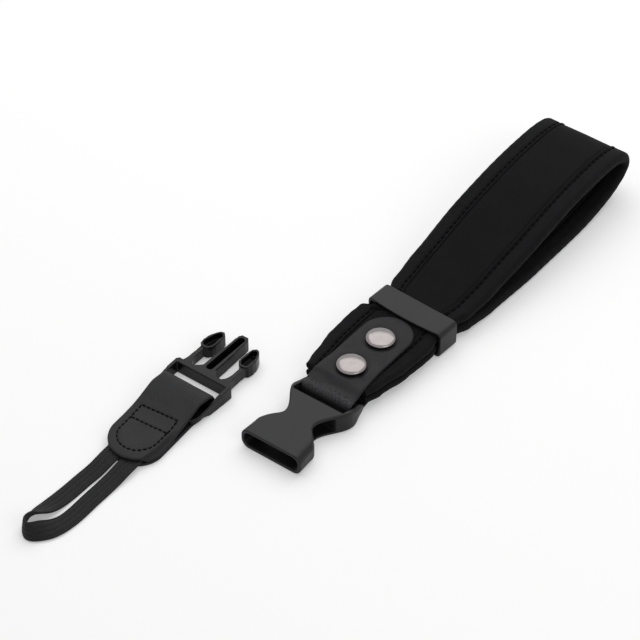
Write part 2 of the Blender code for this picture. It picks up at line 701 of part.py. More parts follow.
def build_lug_loop(material, pivot):
    """Flat woven tape, sewn in at both ends. It turns on edge at its far end."""
    places = catmull_rom([Vector(station[:3]) * MM for station in LUG_ROUTE], steps=3)
    tilts = catmull_rom([Vector((radians(station[3]), 0, 0)) for station in LUG_ROUTE], steps=3)
    thickness = LUG_TAPE_THICKNESS / 2
    section = rounded_rectangle(LUG_TAPE_HALF_WIDTH, thickness, thickness * 0.7, steps=1)
    rings = []
    for i, centre in enumerate(places):
        tangent = (places[min(i + 1, len(places) - 1)] - places[max(i - 1, 0)]).normalized()
        sideways = Vector((-tangent.y, tangent.x, 0)).normalized()
        across = sideways * cos(tilts[i].x) + Vector((0, 0, sin(tilts[i].x)))
        normal = tangent.cross(across).normalized()
        rings.append([centre + across * a + normal * b for a, b in section])
    return make_object("lug_loop", loft(rings), material, pivot, smooth_angle=60)


def build_all():
    clear_scene()
    padding = make_material("padding", (0.012, 0.012, 0.014), 0.85)
    binding = make_material("binding", (0.014, 0.014, 0.017), 0.7)
    leather = make_material("leather", (0.018, 0.018, 0.02), 0.45)
    plastic = make_material("plastic", (0.02, 0.02, 0.022), 0.4)
    nickel = make_material("nickel", (0.66, 0.62, 0.6), 0.25, metallic=1.0)
    webbing = make_material("webbing", (0.016, 0.016, 0.017), 0.8)

    cut_rivet_holes(build_band(padding))
    for side in ("left", "right"):
        build_binding(side, binding)
    cut_rivet_holes(build_socket_tab(leather))
    for place, y in RIVET_PLACES:
        build_rivet(place, y, nickel)

    slide = make_pivot("keeper_slide", (0.0, KEEPER_Y + KEEPER_DEPTH / 2, 0.0))
    slide.rotation_euler = (0.0, 0.0, KEEPER_TURN)
    build_keeper(plastic, slide)
    build_socket(plastic, make_pivot("socket_pivot", (0.0, BAR_Y, BAR_Z)))

    connector = make_pivot("connector_pull", (PLUG_X, PLUG_FRONT_Y, 0.0))
    build_plug_frame(plastic, connector)
    for side, sign in (("left", -1), ("right", 1)):
        root = make_pivot(f"latch_flex_{side}", (sign * ARM_ROOT_OFFSET, GAP, 0.0), connector)
        build_latch_arm(side, plastic, root)
    tab_place = (0.0, PLUG_BAR_Y - PLUG_FRONT_Y, 0.0)
    build_connector_tab(leather, make_pivot("tab_fold", tab_place, connector))
    build_lug_loop(webbing, make_pivot("lug_place", (LUG_X - PLUG_X, -PLUG_FRONT_Y, 0.0), connector))


build_all()
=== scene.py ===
"""Looks of the camera hand grip strap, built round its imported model.

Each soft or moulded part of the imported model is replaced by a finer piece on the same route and
outline, with its own surface. Lengths are in metres unless a comment or a name says mm, in the
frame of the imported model.
"""
from math import cos, pi, radians, sin, sqrt, tan

import bmesh
import bpy
import numpy as np
from mathutils import Matrix, Vector, noise


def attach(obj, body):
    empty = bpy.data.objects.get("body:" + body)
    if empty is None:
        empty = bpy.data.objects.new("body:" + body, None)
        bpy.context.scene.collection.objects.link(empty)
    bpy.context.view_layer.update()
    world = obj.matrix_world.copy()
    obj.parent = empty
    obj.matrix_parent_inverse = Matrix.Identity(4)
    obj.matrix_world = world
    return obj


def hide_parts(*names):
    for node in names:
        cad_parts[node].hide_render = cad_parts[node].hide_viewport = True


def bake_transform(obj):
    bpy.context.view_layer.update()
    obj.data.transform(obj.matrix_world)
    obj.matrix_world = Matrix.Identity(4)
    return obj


MM = 0.001
GAP = 0.3 * MM

# Socket
MOUTH_Y = -7.0 * MM
SOCKET_HEIGHT = 9.6 * MM
SOCKET_WALL = 1.4 * MM
MOUTH_HALF_WIDTH = 14.7 * MM
WAIST_HALF_WIDTH = 7.4 * MM
CHEEK_HALF_WIDTH = 14.9 * MM
WINDOW_END = 27.2 * MM
CHEEK_START = 30.6 * MM
BAR_Y = MOUTH_Y + 39.5 * MM
BAR_RADIUS = 2.0 * MM
BAR_Z = SOCKET_HEIGHT / 2

# Leather tabs
LEATHER = 1.4 * MM
TAB_HALF_WIDTH = 12.2 * MM
TAB_END_Y = MOUTH_Y + 88.3 * MM
TAB_TOP_Z = 11.15 * MM
TAB_BOTTOM_Z = 1.65 * MM
TAB_CREST = 42.0 * MM
CONNECTOR_TAB_LENGTH = 44.0 * MM
CONNECTOR_TAB_HALF_WIDTH = 12.5 * MM
CONNECTOR_TAB_SLANT = radians(4.4)
CONNECTOR_TAB_SHIFT = -0.9 * MM
CONNECTOR_TOP_Z = 4.0 * MM
# Painted highlight: a lighter band across the socket tab's slope, where the fold catches the light
PAINTED_HIGHLIGHT_AT = TAB_CREST + 9.0 * MM
PAINTED_HIGHLIGHT_REACH = 3.4 * MM
LEATHER_EDGE = 0.7 * MM

# Rivets
RIVET_YS = {"front": MOUTH_Y + 52.9 * MM, "rear": MOUTH_Y + 72.9 * MM}
RIVET_RADIUS = 6.25 * MM
RIVET_CROWN = 2.3 * MM
RIVET_BASE_RADIUS = 4.8 * MM

# Keeper
KEEPER_Y = MOUTH_Y + 89.8 * MM
KEEPER_DEPTH = 11.2 * MM
KEEPER_END_Y = KEEPER_Y + KEEPER_DEPTH
KEEPER_HALF_WIDTH = 19.2 * MM
KEEPER_HEIGHT = 12.7 * MM
KEEPER_WALL = 1.3 * MM
KEEPER_TURN = radians(-3.2)
KEEPER_BOW = 1.3 * MM

# Band
BAND_START_Y = MOUTH_Y + 45.4 * MM
BAND_HALF_WIDTH = 22.1 * MM
FAR_FOLD_Y = MOUTH_Y + 231.2 * MM
FAR_FOLD_SKEW = 0.04
BINDING = 0.45 * MM
BINDING_MARGIN = 9.0 * MM
STITCH_LINE = 1.8 * MM
STITCH_PITCH = 3.2 * MM
STITCH_LENGTH = 2.6 * MM

# Height of the binding tape in mm above its flat, by distance in mm outwards from its inner edge
TAPE_RELIEF = ((0, -0.42), (0.12, -0.1), (0.3, 0.22), (0.5, 0.34), (0.7, 0.34), (0.9, 0.2), (1.05, -0.06),
               (1.25, -0.3), (1.5, -0.34), (1.9, -0.34), (2.3, -0.2), (2.7, 0.0), (3.4, 0.12))

# Plug
PLUG_X = -48.8 * MM
PLUG_FRONT_Y = MOUTH_Y + 19.3 * MM
PLUG_REAR_Y = MOUTH_Y - 5.6 * MM
PLUG_HALF_WIDTH = 14.5 * MM
PLUG_REAR_HALF_WIDTH = 13.8 * MM
PLUG_OPENING_HALF_WIDTH = 12.9 * MM
PLUG_BOTTOM_Z = 0.3 * MM
PLUG_TOP_Z = 6.5 * MM
PLUG_MID_Z = 3.4 * MM
PLUG_BAR_Y = MOUTH_Y + 7.3 * MM
PLUG_BAR_RADIUS = 1.7 * MM
GUIDE_LENGTH = 26.0 * MM
ARM_ROOT_OFFSET = 10.4 * MM

# Lug loop: places in mm beside LUG_X, along Y and up, then the tape's tilt on edge in degrees
LUG_X = -46.9 * MM
LUG_TAPE_HALF_WIDTH = 4.0 * MM
LUG_TAPE_THICKNESS = 1.3 * MM
LUG_ROUTE = (
    (-4.3, -21, 2.35, 0), (-4.0, -32, 2.35, 0), (-3.6, -42, 2.35, 0), (-3.4, -47, 2.2, 0),
    (-3.5, -53, 1.2, 0), (-3.9, -60, 0.72, 0), (-3.95, -70, 0.68, 0), (-4.3, -78, 1.25, 7),
    (-5.1, -84, 2.6, 29), (-5.2, -88.6, 3.95, 62), (-4.1, -92.5, 4.1, 80), (-1.4, -94.6, 4.1, 80),
    (1.1, -93.9, 3.95, 66), (3.0, -90.8, 3.2, 42), (4.8, -86.4, 2.0, 20), (5.7, -81, 1.0, 4),
    (5.9, -75, 0.68, 0), (5.5, -66, 0.68, 0), (5.4, -60, 0.72, 0), (5.4, -53, 1.2, 0),
    (5.4, -47, 2.2, 0), (5.1, -42, 2.35, 0), (4.6, -32, 2.35, 0), (4.3, -21, 2.35, 0))

# Camera
CAMERA_AZIMUTH = radians(37.273)
CAMERA_ELEVATION = radians(41.499)
CAMERA_DISTANCE = 0.9
CAMERA_LENS = 120.29
CAMERA_TARGET = Vector((-34.975 * MM, 70.953 * MM, 0.0))
LIGHT_TARGET = Vector((-30.0 * MM, 80.0 * MM, 0.0))


# Curves


def ease(low, high, value):
    t = np.clip((value - low) / (high - low), 0.0, 1.0)
    return t * t * (3 - 2 * t)


def between(stations, value):
    """Ease through a list of (place, size) stations."""
    for (start, size), (end, next_size) in zip(stations, stations[1:]):
        if value <= end:
            return size + (next_size - size) * ease(start, end, value)
    return stations[-1][1]


def in_mm(start, pairs):
    """Stations of (place, size) from pairs in mm, with the places counted from a start."""
    return [(start + place * MM, size * MM) for place, size in pairs]


def smooth_curve(points, steps):
    """A curve through all the points, with a number of steps between each pair."""
    points = [np.array(point, float) for point in points]
    ends = [2 * points[0] - points[1]] + points + [2 * points[-1] - points[-2]]
    curve = []
    for a, b, c, d in zip(ends, ends[1:], ends[2:], ends[3:]):
        for t in np.arange(steps) / steps:
            curve.append(0.5 * (2 * b + (c - a) * t + (2 * a - 5 * b + 4 * c - d) * t ** 2
                                + (3 * b - a - 3 * c + d) * t ** 3))
    curve.append(points[-1])
    return np.array(curve)


def running(points, axis=0):
    """The distances of a row of points along it, counted from the first."""
    steps = np.linalg.norm(np.diff(points, axis=axis), axis=-1)
    return np.insert(np.cumsum(steps, axis=axis), 0, 0.0, axis=axis)


class Route:
    """A line in the YZ plane, asked for places by the distance along it."""

    def __init__(self, points):
        self.points = np.array(points, float)
        self.along = running(self.points)
        self.length = self.along[-1]

    def at(self, distance):
        return np.array([np.interp(distance, self.along, self.points[:, k]) for k in (0, 1)])

    def frame(self, distance):
        """The place at a distance, and the unit normal there."""
        reach = 0.4 * MM
        tangent = self.at(distance + reach) - self.at(distance - reach)
        tangent /= np.linalg.norm(tangent)
        return self.at(distance), np.array([-tangent[1], tangent[0]])


def rounded_rectangle(half_a, half_b, radius, steps=6):
    points = []
    for sign_a, sign_b, start in ((1, 1, 0), (-1, 1, 90), (-1, -1, 180), (1, -1, 270)):
        for angle in np.radians(np.linspace(start, start + 90, steps + 1)):
            points.append((sign_a * (half_a - radius) + radius * cos(angle),
                           sign_b * (half_b - radius) + radius * sin(angle)))
    return points


def spaced(span, step):
    return np.linspace(*span, max(int((span[1] - span[0]) / step), 2) + 1)


def soft_noise(x, y, size, seed=0.0):
    return noise.noise(Vector((x / size, y / size, seed)))


# Meshes


def link(name, mesh, material):
    mesh.materials.clear()
    mesh.materials.append(material)
    piece = bpy.data.objects.new(name, mesh)
    bpy.context.scene.collection.objects.link(piece)
    return piece


def tidy_mesh(mesh, smooth_angle=60, merge=0.0):
    shape = bmesh.new()
    shape.from_mesh(mesh)
    if merge:
        bmesh.ops.remove_doubles(shape, verts=shape.verts, dist=merge)
    bmesh.ops.recalc_face_normals(shape, faces=shape.faces)
    shape.to_mesh(mesh)
    shape.free()
    mesh.shade_smooth()
    mesh.set_sharp_from_angle(angle=radians(smooth_angle))
    return mesh


def grid_faces(rows, count, closed_rows, closed_ring):
    """Faces between rings of points, ring by ring."""
    faces = []
    for row in range(rows if closed_rows else rows - 1):
        after = (row + 1) % rows
        for i in range(count if closed_ring else count - 1):
            j = (i + 1) % count
            faces.append((row * count + i, row * count + j, after * count + j, after * count + i))
    return faces


def skin(name, rings, closed=False, smooth_angle=60):
    """A mesh over a row of closed rings, with a UV map in metres along the row and round the rings."""
    rings = np.array(rings, float)
    rows, count = rings.shape[:2]
    along = running(rings.mean(axis=1))
    around = running(np.concatenate([rings, rings[:, :1]], axis=1), axis=1)
    faces = grid_faces(rows, count, closed, True)
    corners = []
    for row in range(rows if closed else rows - 1):
        after = (row + 1) % rows
        far = along[row] + (0.5 * MM if after == 0 else along[after] - along[row])
        for i in range(count):
            corners += [(along[row], around[row, i]), (along[row], around[row, i + 1]),
                        (far, around[after, i + 1]), (far, around[after, i])]
    if not closed:
        for row in (0, rows - 1):
            faces.append(tuple(row * count + i for i in range(count)))
            corners += [(along[row], around[row, i]) for i in range(count)]
    mesh = bpy.data.meshes.new(name)
    mesh.from_pydata(rings.reshape(-1, 3).tolist(), [], faces)
    layer = mesh.uv_layers.new(name="UVMap")
    layer.data.foreach_set("uv", np.array(corners, np.float32).ravel())
    return tidy_mesh(mesh, smooth_angle)


def join_meshes(name, meshes):
    shape = bmesh.new()
    for mesh in meshes:
        shape.from_mesh(mesh)
    joined = bpy.data.meshes.new(name)
    shape.to_mesh(joined)
    shape.free()
    return joined


def prism(outline, low_z, high_z):
    return skin("prism", [[(x, y, z) for x, y in outline] for z in (low_z, high_z)])


def side_prism(outline, half_width):
    return skin("side_prism", [[(x, y, z) for y, z in outline] for x in (-half_width, half_width)])


def cross_bar(radius, half_length, y, z):
    angles = np.linspace(0, 2 * pi, 40, endpoint=False)
    return side_prism([(y + radius * cos(a), z + radius * sin(a)) for a in angles], half_length)


def moulded(name, base, steps, voxel, rounding, material, place):
    """Cut and join shapes, then melt the result into one skin with softly rounded edges."""
    piece = link(name, base, material)
    tools = []
    for operation, mesh in steps:
        tool = link(f"{name}_tool", mesh, material)
        modifier = piece.modifiers.new(operation, "BOOLEAN")
        modifier.operation = operation
        modifier.object = tool
        modifier.solver = "EXACT"
        tools.append(tool)
    melt = piece.modifiers.new("melt", "REMESH")
    melt.mode = "VOXEL"
    melt.voxel_size = voxel
    relax = piece.modifiers.new("relax", "SMOOTH")
    relax.factor = 0.5
    relax.iterations = rounding
    bpy.context.view_layer.update()
    graph = bpy.context.evaluated_depsgraph_get()
    made = bpy.data.meshes.new_from_object(piece.evaluated_get(graph))
    piece.modifiers.clear()
    piece.data = made
    for tool in tools:
        bpy.data.objects.remove(tool)
    made.shade_smooth()
    made.transform(Matrix.Translation(place))
    return piece


def lathe(name, profile, segments=96):
    """Turn (radius, z) points about the Z axis."""
    points = [(r * cos(a), r * sin(a), z) for a in np.linspace(0, 2 * pi, segments, endpoint=False)
              for r, z in profile]
    mesh = bpy.data.meshes.new(name)
    mesh.from_pydata(points, [], grid_faces(segments, len(profile), True, False))
    return tidy_mesh(mesh, 40, merge=1e-7)


# Materials


def add_node(tree, kind, inputs=None, **settings):
    made = tree.nodes.new("ShaderNode" + kind)
    for name, value in settings.items():
        setattr(made, name, value)
    for name, value in (inputs or {}).items():
        if isinstance(value, bpy.types.NodeSocket):
            tree.links.new(value, made.inputs[name])
        else:
            made.inputs[name].default_value = value
    return made


def calc(tree, operation, a, b=0.0, c=0.0):
    return add_node(tree, "Math", {0: a, 1: b, 2: c}, operation=operation).outputs[0]


def weighted(tree, a, share_a, b, share_b):
    return calc(tree, "MULTIPLY_ADD", a, share_a, calc(tree, "MULTIPLY", b, share_b))


def new_surface(name, **constants):
    """A material and its nodes; constants are set on the shader's own sockets."""
    material = bpy.data.materials.new(name)
    material.use_nodes = True
    tree = material.node_tree
    for socket, value in constants.items():
        tree.nodes["Principled BSDF"].inputs[socket.replace("_", " ")].default_value = value
    return material, tree


def finished(material, colour, roughness, *layers):
    """Plug in the colour, the roughness and bumps of (height from 0 to 1, depth in metres)."""
    tree = material.node_tree
    sockets = tree.nodes["Principled BSDF"].inputs
    tree.links.new(colour, sockets["Base Color"])
    tree.links.new(roughness, sockets["Roughness"])
    below = {}
    for height, depth in layers:
        bump = add_node(tree, "Bump", {"Height": height, "Strength": 1.0, "Distance": depth, **below})
        below = {"Normal": bump.outputs[0]}
    tree.links.new(below["Normal"], sockets["Normal"])
    return material


def scaled(tree, vector, scale, turn=0.0):
    made = add_node(tree, "Mapping", {"Vector": vector, "Scale": scale, "Rotation": (0, 0, turn)})
    return made.outputs[0]


def speckle(tree, vector, size, detail=2.0, roughness=0.5):
    """Noise with blotches of about this size."""
    made = add_node(tree, "TexNoise",
                    {"Vector": vector, "Scale": 1 / size, "Detail": detail, "Roughness": roughness})
    return made.outputs[0]


def ramp(tree, value, low, high, from_low=0.0, from_high=1.0):
    return add_node(tree, "MapRange", {"Value": value, "From Min": from_low, "From Max": from_high,
                                       "To Min": low, "To Max": high}).outputs[0]


def mix(tree, share, low, high):
    """Mix two colours; each is a tuple or the socket of another node."""
    low, high = (c if isinstance(c, bpy.types.NodeSocket) else (*c, 1) for c in (low, high))
    return add_node(tree, "Mix", {0: share, 6: low, 7: high}, data_type="RGBA").outputs[2]


def ridges(tree, coordinate, pitch):
    """Ribs from 0 to 1 across one coordinate in metres."""
    wave = calc(tree, "SINE", calc(tree, "MULTIPLY", coordinate, 2 * pi / pitch))
    return calc(tree, "MULTIPLY_ADD", wave, 0.5, 0.5)


def uv_axes(tree):
    uv = add_node(tree, "TexCoord").outputs["UV"]
    split = add_node(tree, "SeparateXYZ", {"Vector": uv})
    return uv, split.outputs[0], split.outputs[1]


def make_jersey():
    """Matt knitted face of the neoprene: fine wales and courses, light flecks and soft blotches."""
    material, tree = new_surface("jersey", Specular_IOR_Level=0.08, Sheen_Weight=0.02, Sheen_Roughness=0.5)
    uv, along, across = uv_axes(tree)
    wobble = speckle(tree, uv, 1.6 * MM)
    wales = ridges(tree, calc(tree, "MULTIPLY_ADD", wobble, 0.10 * MM, across), 0.42 * MM)
    courses = ridges(tree, calc(tree, "MULTIPLY_ADD", wobble, 0.12 * MM, along), 0.34 * MM)
    knit = calc(tree, "MULTIPLY", wales, courses)
    blotch = speckle(tree, uv, 14 * MM, 4.0)
    fuzz = speckle(tree, uv, 0.45 * MM, 3.0, 0.7)
    tone = weighted(tree, knit, 0.3, ramp(tree, fuzz, 0.0, 1.0, 0.42, 0.68), 0.7)
    return finished(material, mix(tree, tone, (0.003, 0.003, 0.0036), (0.017, 0.017, 0.0182)),
                    ramp(tree, blotch, 0.82, 0.98),
                    (blotch, 0.12 * MM), (knit, 0.05 * MM), (fuzz, 0.10 * MM))


def make_binding():
    """Elastic binding tape with slanting ribs."""
    material, tree = new_surface("binding_tape", Specular_IOR_Level=0.07, Sheen_Weight=0.01,
                                 Sheen_Roughness=0.45)
    uv, along, across = uv_axes(tree)
    ribs = ridges(tree, calc(tree, "MULTIPLY_ADD", across, 0.55, along), 0.78 * MM)
    yarn = ridges(tree, across, 0.36 * MM)
    fuzz = speckle(tree, uv, 0.4 * MM, 3.0, 0.7)
    tone = weighted(tree, ribs, 0.5, fuzz, 0.5)
    return finished(material, mix(tree, tone, (0.0022, 0.0022, 0.0027), (0.0115, 0.0115, 0.0128)),
                    ramp(tree, speckle(tree, uv, 9 * MM, 3.0), 0.62, 0.85),
                    (ribs, 0.14 * MM), (yarn, 0.04 * MM), (fuzz, 0.05 * MM))


def painted_highlight_strip(tree, uv, along, middle):
    """A mottled strip of painted highlight, from 0 to 1, across the leather at one distance along it."""
    away = calc(tree, "ABSOLUTE", calc(tree, "SUBTRACT", along, middle))
    near = ramp(tree, away, 1.0, 0.0, 0.0, PAINTED_HIGHLIGHT_REACH)
    mottle = ramp(tree, speckle(tree, uv, 0.7 * MM, 3.0, 0.7), 0.0, 1.0, 0.40, 0.64)
    return calc(tree, "MULTIPLY", near, mottle)


def make_leather(name, dark, light, low_roughness, high_roughness, highlight_at=None):
    """Fine pebble grain with a worn sheen; it can take a painted highlight, a lighter mottled strip across
    it.
    """
    material, tree = new_surface(name, Specular_IOR_Level=0.16, Coat_Weight=0.02, Coat_Roughness=0.35)
    uv, along, _ = uv_axes(tree)
    warp = add_node(tree, "VectorMath", {0: speckle(tree, uv, 2.5 * MM), 3: 0.5 * MM}, operation="SCALE")
    moved = add_node(tree, "VectorMath", {0: uv, 1: warp.outputs[0]}, operation="ADD")
    cells = add_node(tree, "TexVoronoi", {"Vector": moved.outputs[0], "Scale": 1 / (0.75 * MM)},
                     feature="DISTANCE_TO_EDGE").outputs["Distance"]
    pebble = ramp(tree, cells, 0.0, 1.0, 0.0, 0.28)
    broad = speckle(tree, uv, 8 * MM, 4.0, 0.6)
    pores = speckle(tree, uv, 0.3 * MM, 2.0)
    colour = mix(tree, weighted(tree, pebble, 0.4, broad, 0.6), dark, light)
    if highlight_at:
        highlight_share = painted_highlight_strip(tree, uv, along, highlight_at)
        # Painted highlight: the colour is mixed towards light grey in the strip where the slope catches the
        # light
        colour = mix(tree, highlight_share, colour, (0.075, 0.075, 0.079))
    return finished(material, colour,
                    ramp(tree, broad, low_roughness, high_roughness, 0.3, 0.7),
                    (broad, 0.10 * MM), (pebble, 0.035 * MM), (pores, 0.02 * MM))


def make_plastic(name, dark, light, low_roughness, high_roughness, texture_depth, gloss):
    """Moulded plastic with a fine spark texture, faint flow marks and small scuffs."""
    material, tree = new_surface(name, Specular_IOR_Level=gloss)
    place = add_node(tree, "TexCoord").outputs["Object"]
    flow = speckle(tree, scaled(tree, place, (1.0, 0.35, 1.0)), 9 * MM, 3.0)
    texture = speckle(tree, place, 0.28 * MM, 2.0, 0.6)
    scuffs = speckle(tree, scaled(tree, place, (1.0, 0.12, 1.0), 0.5), 0.6 * MM, 3.0, 0.7)
    marks = ramp(tree, scuffs, 0.0, 1.0, 0.62, 0.8)
    rough = weighted(tree, texture, 0.5, flow, 0.5)
    return finished(material, mix(tree, weighted(tree, marks, 0.35, flow, 0.7), dark, light),
                    ramp(tree, rough, low_roughness, high_roughness, 0.3, 0.7),
                    (flow, 0.04 * MM), (texture, texture_depth), (marks, 0.006 * MM))


def make_nickel():
    """Plated steel: polished, with a faint cloud and small dull specks."""
    material, tree = new_surface("nickel_plate", Metallic=1.0)
    place = add_node(tree, "TexCoord").outputs["Object"]
    specks = speckle(tree, place, 0.5 * MM, 3.0, 0.6)
    cloud = speckle(tree, place, 3 * MM, 3.0)
    return finished(material, mix(tree, cloud, (0.20, 0.184, 0.182), (0.27, 0.249, 0.246)),
                    ramp(tree, specks, 0.14, 0.24, 0.3, 0.7),
                    (cloud, 0.03 * MM), (specks, 0.004 * MM))


def make_thread():
    """Twisted polyester thread."""
    material, tree = new_surface("thread", Specular_IOR_Level=0.05)
    uv, along, across = uv_axes(tree)
    ply = ridges(tree, calc(tree, "MULTIPLY_ADD", across, 0.8, along), 0.45 * MM)
    fuzz = speckle(tree, uv, 0.15 * MM)
    return finished(material, mix(tree, ply, (0.0008, 0.0008, 0.0009), (0.0026, 0.0026, 0.0029)),
                    ramp(tree, fuzz, 0.6, 0.8), (ply, 0.06 * MM), (fuzz, 0.02 * MM))


def make_webbing():
    """Braided tape: small chevrons along each rib."""
    material, tree = new_surface("webbing_braid", Specular_IOR_Level=0.2, Sheen_Weight=0.05,
                                 Sheen_Roughness=0.4)
    uv, along, across = uv_axes(tree)
    fold = calc(tree, "PINGPONG", across, 1.0 * MM)
    chevron = ridges(tree, calc(tree, "MULTIPLY_ADD", fold, 1.1, along), 0.95 * MM)
    strands = ridges(tree, across, 0.5 * MM)
    fuzz = speckle(tree, uv, 0.3 * MM, 3.0, 0.7)
    tone = weighted(tree, chevron, 0.55, fuzz, 0.45)
    return finished(material, mix(tree, tone, (0.005, 0.005, 0.0052), (0.024, 0.024, 0.025)),
                    ramp(tree, fuzz, 0.6, 0.85),
                    (chevron, 0.12 * MM), (strands, 0.06 * MM), (fuzz, 0.04 * MM))


# Band


# How far the band's edges lie from the tab's middle line, by their place along Y
BEHIND_KEEPER = in_mm(KEEPER_END_Y, ((0, 17.2), (9, 19.7), (24, 20.9), (56, BAND_HALF_WIDTH / MM)))
LEFT_REACHES = (in_mm(BAND_START_Y, ((0, 17.3), (8, 18.9), (22, 21.1)))
                + in_mm(KEEPER_Y, ((-9, 21.7), (-2.5, 21.2), (0, 17.3))) + BEHIND_KEEPER)
RIGHT_REACHES = (in_mm(BAND_START_Y, ((0, 12.9), (8, 14.9), (22, 17.3)))
                 + in_mm(KEEPER_Y, ((-9, 18.2), (-5, 18.2), (-2, 17.1))) + BEHIND_KEEPER)


def band_points():
    """Centre line of the band as (y, z): the bottom layer, the far fold and the top layer."""
    reach = TAB_END_Y - 5 * MM - BAND_START_Y
    in_tab = [BAND_START_Y + reach * share for share in (0, 0.12, 0.28, 0.5, 0.75, 1)]
    lower = [(y, 4.45 * MM) for y in in_tab] + in_mm(KEEPER_Y, ((0, 3.9),))
    lower += in_mm(KEEPER_END_Y, ((1, 3.9), (12, 3.1), (26, 2.5), (55, 2.5)))
    fold = in_mm(FAR_FOLD_Y, ((-42, 2.6), (-27, 3.8), (-13, 6.8), (-3.2, 11.5), (0, 16.5), (-3.6, 21.1),
                              (-13, 23.2), (-28, 23.4), (-46, 22.2), (-65, 19.4), (-84, 15.8)))
    upper = in_mm(KEEPER_END_Y, ((27, 12.0), (12, 9.5), (1, 8.75))) + in_mm(KEEPER_Y, ((0, 8.75),))
    return lower + fold + upper + [(y, 8.4 * MM) for y in in_tab[::-1]]


def band_half_width(y):
    return (between(LEFT_REACHES, y) + between(RIGHT_REACHES, y)) / 2


def band_shift(y):
    """How far the band's middle lies beside the tab's: a little to the left, ahead of the keeper."""
    return (between(RIGHT_REACHES, y) - between(LEFT_REACHES, y)) / 2


def band_skew(y):
    return -FAR_FOLD_SKEW * ease(FAR_FOLD_Y - 70 * MM, FAR_FOLD_Y - 10 * MM, y)


def band_half_thickness(y):
    return between(((TAB_END_Y - 5 * MM, 1.8 * MM), (KEEPER_Y, 2.2 * MM), (KEEPER_END_Y, 2.2 * MM),
                    (KEEPER_Y + 45 * MM, 2.45 * MM)), y)


def band_margin(y):
    return BINDING_MARGIN * band_half_width(y) / BAND_HALF_WIDTH


def core_section(distance, y):
    """The neoprene: full between the two welts, and pressed flat where the binding holds it."""
    half_height = band_half_thickness(y)
    welt = band_half_width(y) - band_margin(y)
    edge = band_half_width(y) - BINDING - 0.5 * MM
    pressed = half_height - BINDING - 0.06 * MM
    radius = pressed * 0.8
    free = ease(KEEPER_END_Y - 2 * MM, KEEPER_END_Y, y)
    half = []
    for share in (0, 0.15, 0.3, 0.45, 0.6, 0.72, 0.82, 0.88, 0.92, 0.96, 0.98, 1.0):
        x = welt * share
        rise = ease(welt, welt - 1.3 * MM, x) * (half_height - 0.08 * MM - pressed)
        half.append((x, pressed + rise + 0.10 * MM * (1 - share ** 2) * free))
    half += [(welt + (edge - radius - welt) * share, pressed) for share in (0.35, 0.7, 1.0)]
    half += [(edge - radius + radius * sin(a), pressed - radius + radius * cos(a))
             for a in np.radians((22, 45, 67, 90))]
    inner_right = half[::-1]
    inner_left = [(-x, h) for x, h in half][1:]
    outer_left = [(-x, -h - panel_ripple(-x, distance, welt)) for x, h in half[::-1]]
    outer_right = [(x, -h - panel_ripple(x, distance, welt)) for x, h in half][1:]
    return inner_right + inner_left + outer_left + outer_right


def panel_ripple(x, distance, welt):
    if abs(x) >= welt:
        return 0.0
    return 0.13 * MM * soft_noise(x, distance, 13 * MM, 3.0)


def tape_height(reach, distance):
    """How far the tape stands above its flat; the sewing pulls it in a little at each hole."""
    height = np.interp(reach / MM, *zip(*TAPE_RELIEF))
    hole = 0.5 + 0.5 * cos(2 * pi * distance / STITCH_PITCH)
    return (height - 0.09 * hole * np.exp(-((reach - STITCH_LINE) / (0.4 * MM)) ** 2)) * MM


def binding_section(distance, y, sign):
    half_height = band_half_thickness(y)
    scallop = sin(2 * pi * distance / (5.2 * MM) + 2 * soft_noise(distance, sign, 17 * MM))
    half_width = band_half_width(y) + 0.04 * MM * scallop
    inner_line = band_half_width(y) - band_margin(y)
    depth = half_height * 0.9
    last = half_width - depth - inner_line
    reaches = sorted([reach * MM for reach, _ in TAPE_RELIEF] + list(np.linspace(0.72, 1, 4) * last))
    swell = 0.08 * MM * soft_noise(distance, 5 * sign, 8 * MM)
    rises = [tape_height(r, distance) + swell * ease(2 * MM, 4 * MM, r) for r in reaches]
    facing = 0.4 + 0.6 * ease(KEEPER_END_Y, KEEPER_END_Y + 12 * MM, y)
    inner_face = [(inner_line + r, half_height + rise * facing) for r, rise in zip(reaches, rises)]
    outer_face = [(inner_line + r, -half_height - rise) for r, rise in zip(reaches, rises)]
    turns = np.radians(np.linspace(78, -78, 14))
    tall = {1: inner_face[-1][1], -1: -outer_face[-1][1]}
    edge = [(half_width - depth + depth * cos(a), tall[1 if a > 0 else -1] * sin(a)) for a in turns]
    outside = inner_face + edge + outer_face[::-1]
    flat = half_height - BINDING
    lining = [(x, min(flat, h)) for x, h in inner_face]
    lining += [(half_width - depth + (depth - BINDING) * cos(a), flat * sin(a)) for a in turns]
    lining += [(x, max(-flat, h)) for x, h in outer_face[::-1]]
    return [(sign * x, h) for x, h in outside + lining[::-1]]


def carry_band(route, distances, section_at):
    """Rings of a section along the band, with the band's own sideways shift and slanting fold."""
    rings = []
    for distance in distances:
        (y, z), (normal_y, normal_z) = route.frame(distance)
        x, height = np.array(section_at(distance, y)).T
        rings.append(np.column_stack([x + band_shift(y), y + x * band_skew(y) + height * normal_y,
                                      z + height * normal_z]))
    return rings


def band_spans(route):
    """The band in three runs: below the keeper, round the loop, and back on top to the tab."""
    split_y = KEEPER_Y + KEEPER_DEPTH / 2
    inside = route.along[route.points[:, 0] >= split_y]
    return (0.0, inside[0]), (inside[0], inside[-1]), (inside[-1], route.length)


def stitch_rings(path_at, start, end, radius):
    """One thread stitch that dives into the cloth at both ends."""
    shares = np.array((0.0, 0.1, 0.25, 0.5, 0.75, 0.9, 1.0))
    dip = np.array((-1.6, -0.5, 0.2, 0.35, 0.2, -0.5, -1.6)) * radius
    thick = np.array((0.6, 0.95, 1.0, 1.0, 1.0, 0.95, 0.6)) * radius
    rings = []
    for share, drop, size in zip(shares, dip, thick):
        centre, side, up = path_at(start + (end - start) * share)
        rings.append([centre + up * drop + side * (size * cos(a)) + up * (size * sin(a))
                      for a in np.linspace(0, 2 * pi, 6, endpoint=False)])
    return rings


